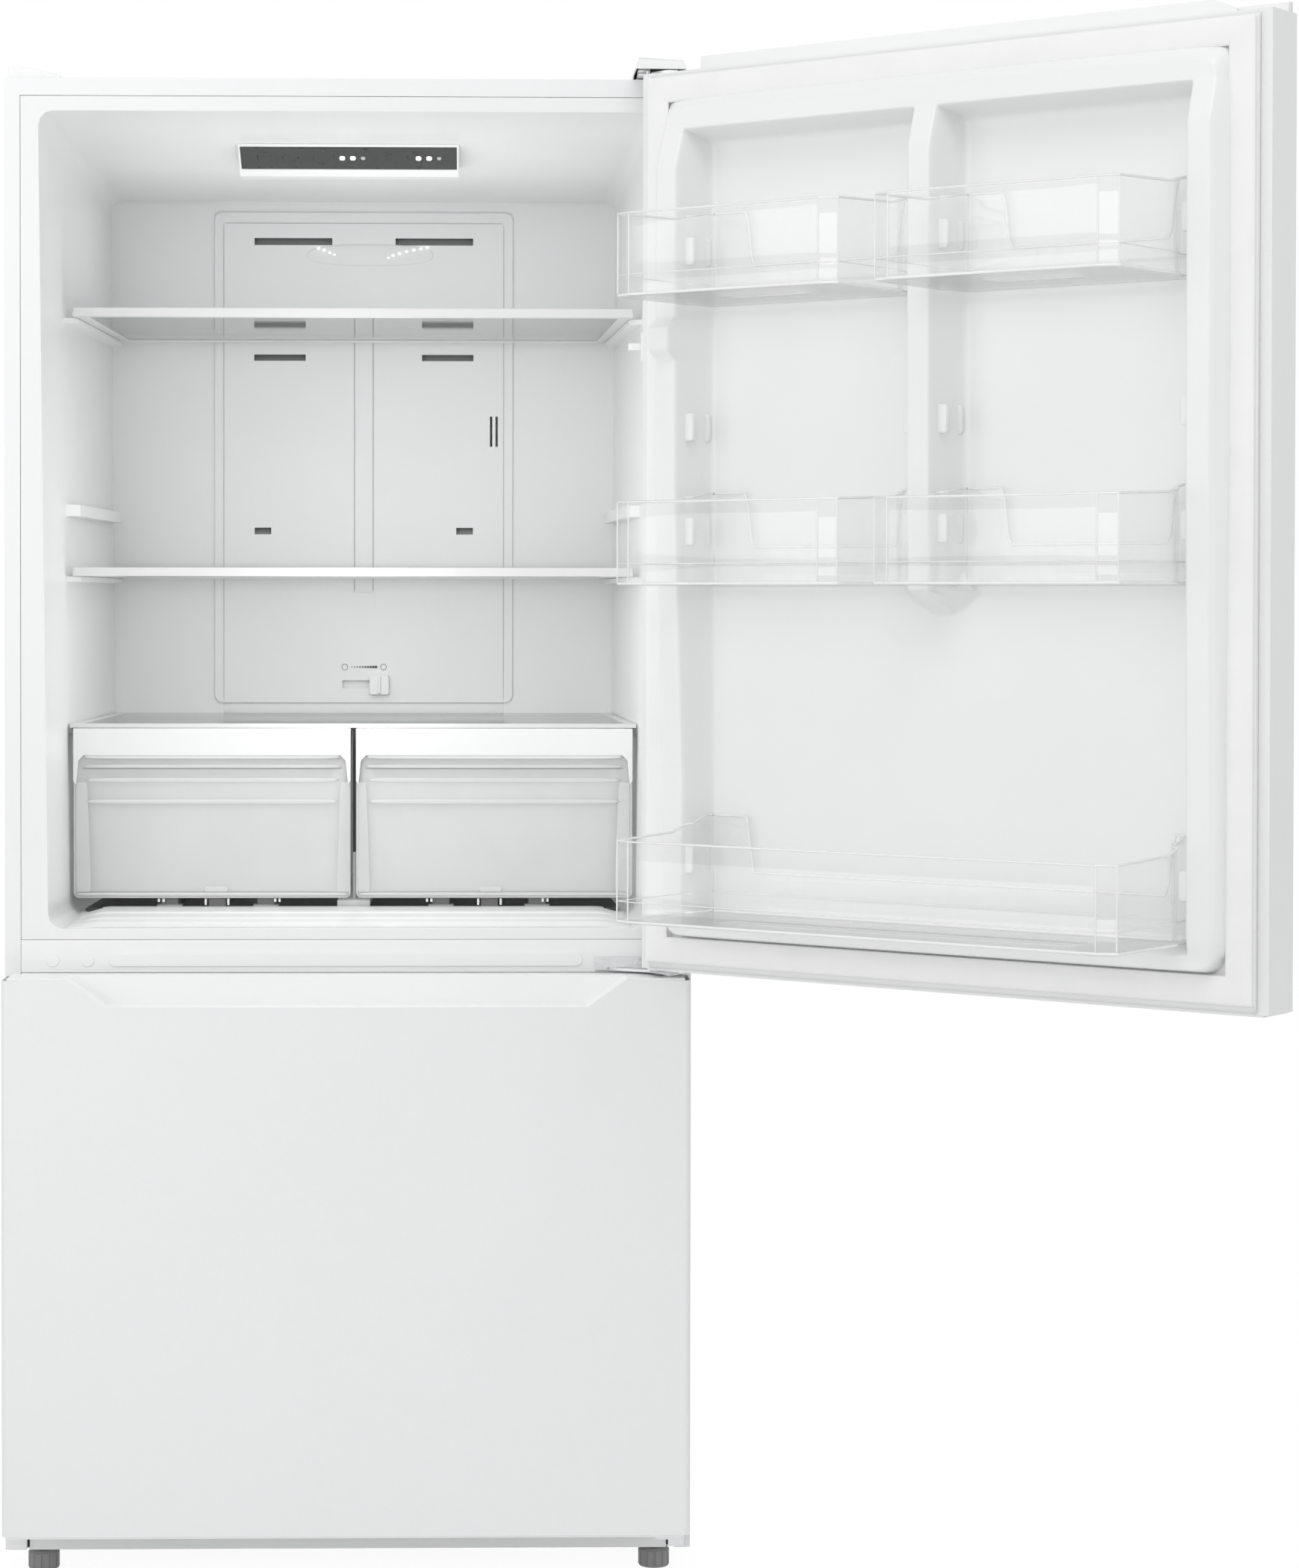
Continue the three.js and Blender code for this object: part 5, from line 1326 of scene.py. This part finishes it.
class FRIDGE_OT_seals(RefrigeratorPiece, bpy.types.Operator):
    """Make the folded magnetic seals of both doors"""

    bl_idname = "fridge.seals"
    bl_label = "Door seals"

    def execute(self, context):
        shapes = context.scene.fridge_shapes
        for door, outer, place in (
            ("fridge", (363.0, 686.0, 1649.0), on_open_door),
            ("freezer", (360.0, 66.0, 664.5), on_closed_door),
        ):
            name, stands_for = f"{door}_door_seal", [f"{door}_door_gasket"]
            mesh = seal_mesh(name, outer, place, shapes)
            add_piece(name, mesh, "gasket_vinyl", f"{door}_door", stands_for=stands_for)
        return {"FINISHED"}


class FRIDGE_OT_door_bins(RefrigeratorPiece, bpy.types.Operator):
    """Make the five clear bins of the fridge door"""

    bl_idname = "fridge.door_bins"
    bl_label = "Door bins"

    def execute(self, context):
        shapes = context.scene.fridge_shapes
        short, long = (88.0, 101.0, 43.0, (18, 46)), (87.0, 107.0, 47.0, (19, 48))
        for node, x0, x1, z, heights in (
            ("door_bin_upper_hinge", 20.0, 296.0, 1397.0, short),
            ("door_bin_upper_free", -296.0, -20.0, 1397.0, short),
            ("door_bin_middle_hinge", 20.0, 296.0, 1096.0, short),
            ("door_bin_middle_free", -296.0, -20.0, 1096.0, short),
            ("door_bin_bottom", -296.0, 296.0, 743.0, long),
        ):
            rim = bin_rim(bin_plan(x0, x1)[0], x0, x1, *heights)
            mesh = bin_mesh(node + "_shell", x0, x1, z, rim)
            piece = add_piece(node + "_shell", mesh, "clear_plastic", node, stands_for=[node])
            thicken(piece, shapes.bin_wall)
            # The beads' bright white is a painted highlight along the bin's edges.
            mesh = bin_beads(node + "_edges", x0, x1, z, heights[0], rim)
            add_piece(node + "_edges", mesh, "bead_painted_highlight", node)
        return {"FINISHED"}


def lean_cover(points):
    """Leans the hinge cover: with the share of its height, its left side moves in by 5.5 and its right
    side by 4, and its top comes down by 3.2 on the left, falling to 6.4 on the right."""
    low, high = points.min(0), points.max(0)
    across, _, share = ((points - low) / (high - low)).T
    share = np.clip((share - 0.1) / 0.9, 0.0, 1.0)
    points[:, 0] += 0.001 * share * (5.5 * (1 - across) - 4.0 * across)
    points[:, 2] -= 0.001 * share * (3.2 + 3.2 * across)
    return points


class FRIDGE_OT_hinges(RefrigeratorPiece, bpy.types.Operator):
    """Finish the hinges and the covers over and beside them"""

    bl_idname = "fridge.hinges"
    bl_label = "Hinges"

    def execute(self, context):
        for node in ("top_hinge", "mid_hinge", "bottom_hinge"):
            softened(node, "zinc_steel", 0.4)
        cover = softened("top_hinge_cover", "white_plastic", 1.0, 3)
        move_points(cover, lean_cover)
        for node in ("top_hinge_blank", "bottom_hinge_blank"):
            softened(node, "white_plastic", 1.0, 3)
        low = np.array([[318.0, -24.0, 1656.9], [318.0, -30.0, 1659.8], [327.0, -33.0, 1657.2]])
        high = np.array([[338.0, 6.0, 1660.0], [331.0, -6.0, 1664.4], [331.5, -27.0, 1665.0]])
        add_shapes("hinge_leaf", pillow(low, high, 9, 9, 16), "zinc_steel")
        return {"FINISHED"}


class FRIDGE_OT_feet(RefrigeratorPiece, bpy.types.Operator):
    """Finish the levelling feet and the rear rollers"""

    bl_idname = "fridge.feet"
    bl_label = "Feet and rollers"

    def execute(self, context):
        for side in ("left", "right"):
            softened(f"foot_{side}", "grey_plastic", 0.5)
            softened(f"roller_{side}", "dark_plastic", 0.5)
        return {"FINISHED"}


class FRIDGE_OT_machine_room(RefrigeratorPiece, bpy.types.Operator):
    """Finish the compressor, its fan, the pan and the cover at the back"""

    bl_idname = "fridge.machine_room"
    bl_label = "Machine room"

    def execute(self, context):
        softened("compressor", "black_shell", 2.0, 3)
        softened("machine_cover", "galvanised_steel", 0.3)
        for node in ("fan_shroud", "condenser_fan", "drain_pan"):
            softened(node, "dark_plastic", 0.5)
        return {"FINISHED"}


class FRIDGE_OT_freezer_inside(RefrigeratorPiece, bpy.types.Operator):
    """Finish the freezer's drawers, back panel, evaporator and fan"""

    bl_idname = "fridge.freezer_inside"
    bl_label = "Freezer inside"

    def execute(self, context):
        softened("freezer_back_panel", "liner_plastic", 0.6)
        softened("evaporator", "bare_aluminium", 0.0)
        softened("evaporator_fan", "dark_plastic", 0.4)
        for level in ("upper", "lower"):
            softened(f"freezer_drawer_{level}", "clear_plastic", 0.6)
        return {"FINISHED"}


# ---------------------------------------------------------------- stage


def studio_white(name, lit_share):
    """Floor paint: a pale diffuse surface, part of which shows as plain white to the camera and in
    reflections, so the floor meets the white surroundings and still takes the object's shadow."""
    made = Finish(name).set(IOR=1.3)
    made.shades(made.noise(0.8), (0.93, 0.93, 0.93), 0.01)
    made.rough(made.noise(3.0), 0.75, 0.85)
    path = made.node("ShaderNodeLightPath")
    seen = made.math("MAXIMUM", path.outputs["Is Camera Ray"], path.outputs["Is Glossy Ray"])
    seen = made.math("MAXIMUM", seen, path.outputs["Is Transmission Ray"])
    white = made.node("ShaderNodeEmission")
    white.inputs["Strength"].default_value = 1.06
    mix = made.node("ShaderNodeMixShader")
    made.link(made.math("MULTIPLY", seen, lit_share), mix.inputs[0])
    made.link(made.shader.outputs["BSDF"], mix.inputs[1])
    made.link(white.outputs["Emission"], mix.inputs[2])
    made.link(mix.outputs["Shader"], made.tree.nodes["Material Output"].inputs["Surface"])
    return made.material


def studio_world(ambient):
    """Even surroundings: the ambient strength for diffuse light, and plain white to the camera, in
    reflections and through glass."""
    world = bpy.data.worlds.new("studio")
    world.use_nodes = True
    tree = world.node_tree
    path = tree.nodes.new("ShaderNodeLightPath")
    background = tree.nodes["Background"]
    background.inputs["Color"].default_value = (1.0, 1.0, 1.0, 1.0)
    seen = path.outputs["Is Camera Ray"]
    for ray in ("Is Transmission Ray", "Is Glossy Ray"):
        either = tree.nodes.new("ShaderNodeMath")
        either.operation = "MAXIMUM"
        tree.links.new(seen, either.inputs[0])
        tree.links.new(path.outputs[ray], either.inputs[1])
        seen = either.outputs[0]
    scaled = tree.nodes.new("ShaderNodeMapRange")
    scaled.inputs["To Min"].default_value = ambient
    scaled.inputs["To Max"].default_value = 1.0
    tree.links.new(seen, scaled.inputs["Value"])
    tree.links.new(scaled.outputs["Result"], background.inputs["Strength"])
    bpy.context.scene.world = world


def add_lamp(name, data):
    """Puts a lamp's data into the scene."""
    lamp = bpy.data.objects.new(name, data)
    bpy.context.scene.collection.objects.link(lamp)
    return lamp


def hide_lamp(lamp):
    """Hides a lamp from the camera, from reflections and through glass."""
    lamp.visible_camera = lamp.visible_glossy = lamp.visible_transmission = False


def soft_lamp(name, place, aim, width, height, power):
    """A rectangular lamp at a place, turned so that it shines at its aim."""
    data = bpy.data.lights.new(name, "AREA")
    data.shape = "RECTANGLE"
    data.size, data.size_y, data.energy = width, height, power
    lamp = add_lamp(name, data)
    place, aim = Vector(place), Vector(aim)
    lamp.location = place
    lamp.rotation_euler = (aim - place).to_track_quat("-Z", "Y").to_euler()
    return lamp


def inner_lamp(name, place, radius, power):
    """A hidden soft round lamp."""
    data = bpy.data.lights.new(name, "POINT")
    data.energy, data.shadow_soft_size = power, radius
    lamp = add_lamp(name, data)
    lamp.location = place
    hide_lamp(lamp)


def photograph_camera(focal_pixels):
    """The camera: 4 metres in front of the flange, turned to the right and down by small angles in
    radians, with the picture's centre set by the shift."""
    yaw, pitch, roll = 0.0200, 0.0161, 0.0011
    sensor, centre = 36.0, (724.40, 881.13)
    level = math.cos(pitch)
    forward = np.array([math.sin(yaw) * level, math.cos(yaw) * level, -math.sin(pitch)])
    right = np.array([math.cos(yaw), -math.sin(yaw), 0.0])
    up = np.cross(right, forward)
    turned_right = math.cos(roll) * right + math.sin(roll) * up
    turned_up = -math.sin(roll) * right + math.cos(roll) * up
    data = bpy.data.cameras.new("photograph")
    data.sensor_fit = "HORIZONTAL"
    data.sensor_width = sensor
    data.lens = focal_pixels / FRAME_WIDTH * sensor
    data.shift_x = (FRAME_WIDTH / 2 - centre[0]) / FRAME_WIDTH
    data.shift_y = (centre[1] - FRAME_HEIGHT / 2) / FRAME_WIDTH
    data.clip_end = 100.0
    camera = bpy.data.objects.new("photograph", data)
    bpy.context.scene.collection.objects.link(camera)
    matrix = np.eye(4)
    matrix[:3, :3] = np.stack([turned_right, turned_up, -forward], -1)
    matrix[:3, 3] = in_room((132.63, -4000.0, 1081.39))
    camera.matrix_world = Matrix(matrix.tolist())
    bpy.context.scene.camera = camera


class FRIDGE_OT_stage(RefrigeratorPiece, bpy.types.Operator):
    """Set the floor, the soft light and the photograph's camera"""

    bl_idname = "fridge.stage"
    bl_label = "Stage"

    def execute(self, context):
        stage = context.scene.fridge_stage
        half = stage.floor_half
        across = np.linspace(-half, half, 15)
        x, y = np.meshgrid(across, across)
        floor = bpy.data.objects.new("floor", grid_mesh("floor", np.stack([x, y, 0 * x], -1)))
        context.scene.collection.objects.link(floor)
        floor.data.materials.append(studio_white("studio_floor", 0.88))
        studio_world(stage.ambient)
        soft_lamp("key", (-1.9, -4.4, 2.0), (0.0, 0.1, 1.0), 2.6, 2.2, stage.key_power)
        soft_lamp("top", (0.0, -2.2, 3.7), (0.0, 0.0, 1.0), 2.4, 1.6, stage.top_power)
        soft_lamp("left", (-1.7, -1.3, 1.3), (0.5, -0.3, 1.2), 1.0, 1.4, stage.left_power)
        soft_lamp("right", (3.4, -1.9, 1.2), (0.85, -0.35, 1.1), 1.4, 1.8, stage.right_power)
        power = stage.inside_power
        inner_lamp("inside_middle", in_room((-8.0, 90.0, 1250.0)), 0.1, power * 1.05)
        inner_lamp("inside_low", in_room((-8.0, 165.0, 1035.0)), 0.1, power * 2.0)
        place = in_room((-8.0, 270.0, 1440.0))
        hide_lamp(soft_lamp("inside_top", place, place + [0.0, 0.0, 1.0], 0.5, 0.3, power * 0.42))
        photograph_camera(stage.focal_pixels)
        scene = context.scene
        scene.view_settings.view_transform = "Standard"
        scene.cycles.transparent_max_bounces = 32
        return {"FINISHED"}


OPERATORS = (
    FRIDGE_OT_stage,
    FRIDGE_OT_cabinet,
    FRIDGE_OT_compartments,
    FRIDGE_OT_air_tower,
    FRIDGE_OT_controls,
    FRIDGE_OT_shelves,
    FRIDGE_OT_crispers,
    FRIDGE_OT_door_skins,
    FRIDGE_OT_door_liners,
    FRIDGE_OT_seals,
    FRIDGE_OT_door_bins,
    FRIDGE_OT_hinges,
    FRIDGE_OT_feet,
    FRIDGE_OT_machine_room,
    FRIDGE_OT_freezer_inside,
)


class FRIDGE_PT_panel(bpy.types.Panel):
    """Sizes, colours and pieces of the refrigerator"""

    bl_idname = "FRIDGE_PT_panel"
    bl_label = "Bottom freezer refrigerator"
    bl_space_type = "VIEW_3D"
    bl_region_type = "UI"
    bl_category = "Refrigerator"

    def draw(self, context):
        layout = self.layout
        for title, group in (
            ("Shapes", context.scene.fridge_shapes),
            ("Finishes", context.scene.fridge_finishes),
            ("Stage", context.scene.fridge_stage),
        ):
            column = layout.box().column(align=True)
            column.label(text=title)
            for name in group.bl_rna.properties.keys():
                if name not in ("rna_type", "name"):
                    column.prop(group, name)
        column = layout.box().column(align=True)
        column.label(text="Pieces")
        for operator in OPERATORS:
            column.operator(operator.bl_idname)


GROUPS = (
    ("fridge_shapes", FridgeShapeSettings),
    ("fridge_finishes", FridgeFinishSettings),
    ("fridge_stage", FridgeStageSettings),
)


def register():
    for name, group in GROUPS:
        bpy.utils.register_class(group)
        setattr(bpy.types.Scene, name, PointerProperty(type=group))
    for made in (*OPERATORS, FRIDGE_PT_panel):
        bpy.utils.register_class(made)


def unregister():
    for made in (FRIDGE_PT_panel, *reversed(OPERATORS)):
        bpy.utils.unregister_class(made)
    for name, group in reversed(GROUPS):
        delattr(bpy.types.Scene, name)
        bpy.utils.unregister_class(group)


def main():
    """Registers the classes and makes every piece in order."""
    register()
    for operator in OPERATORS:
        group, name = operator.bl_idname.split(".")
        getattr(getattr(bpy.ops, group), name)()


if __name__ == "__main__":
    main()
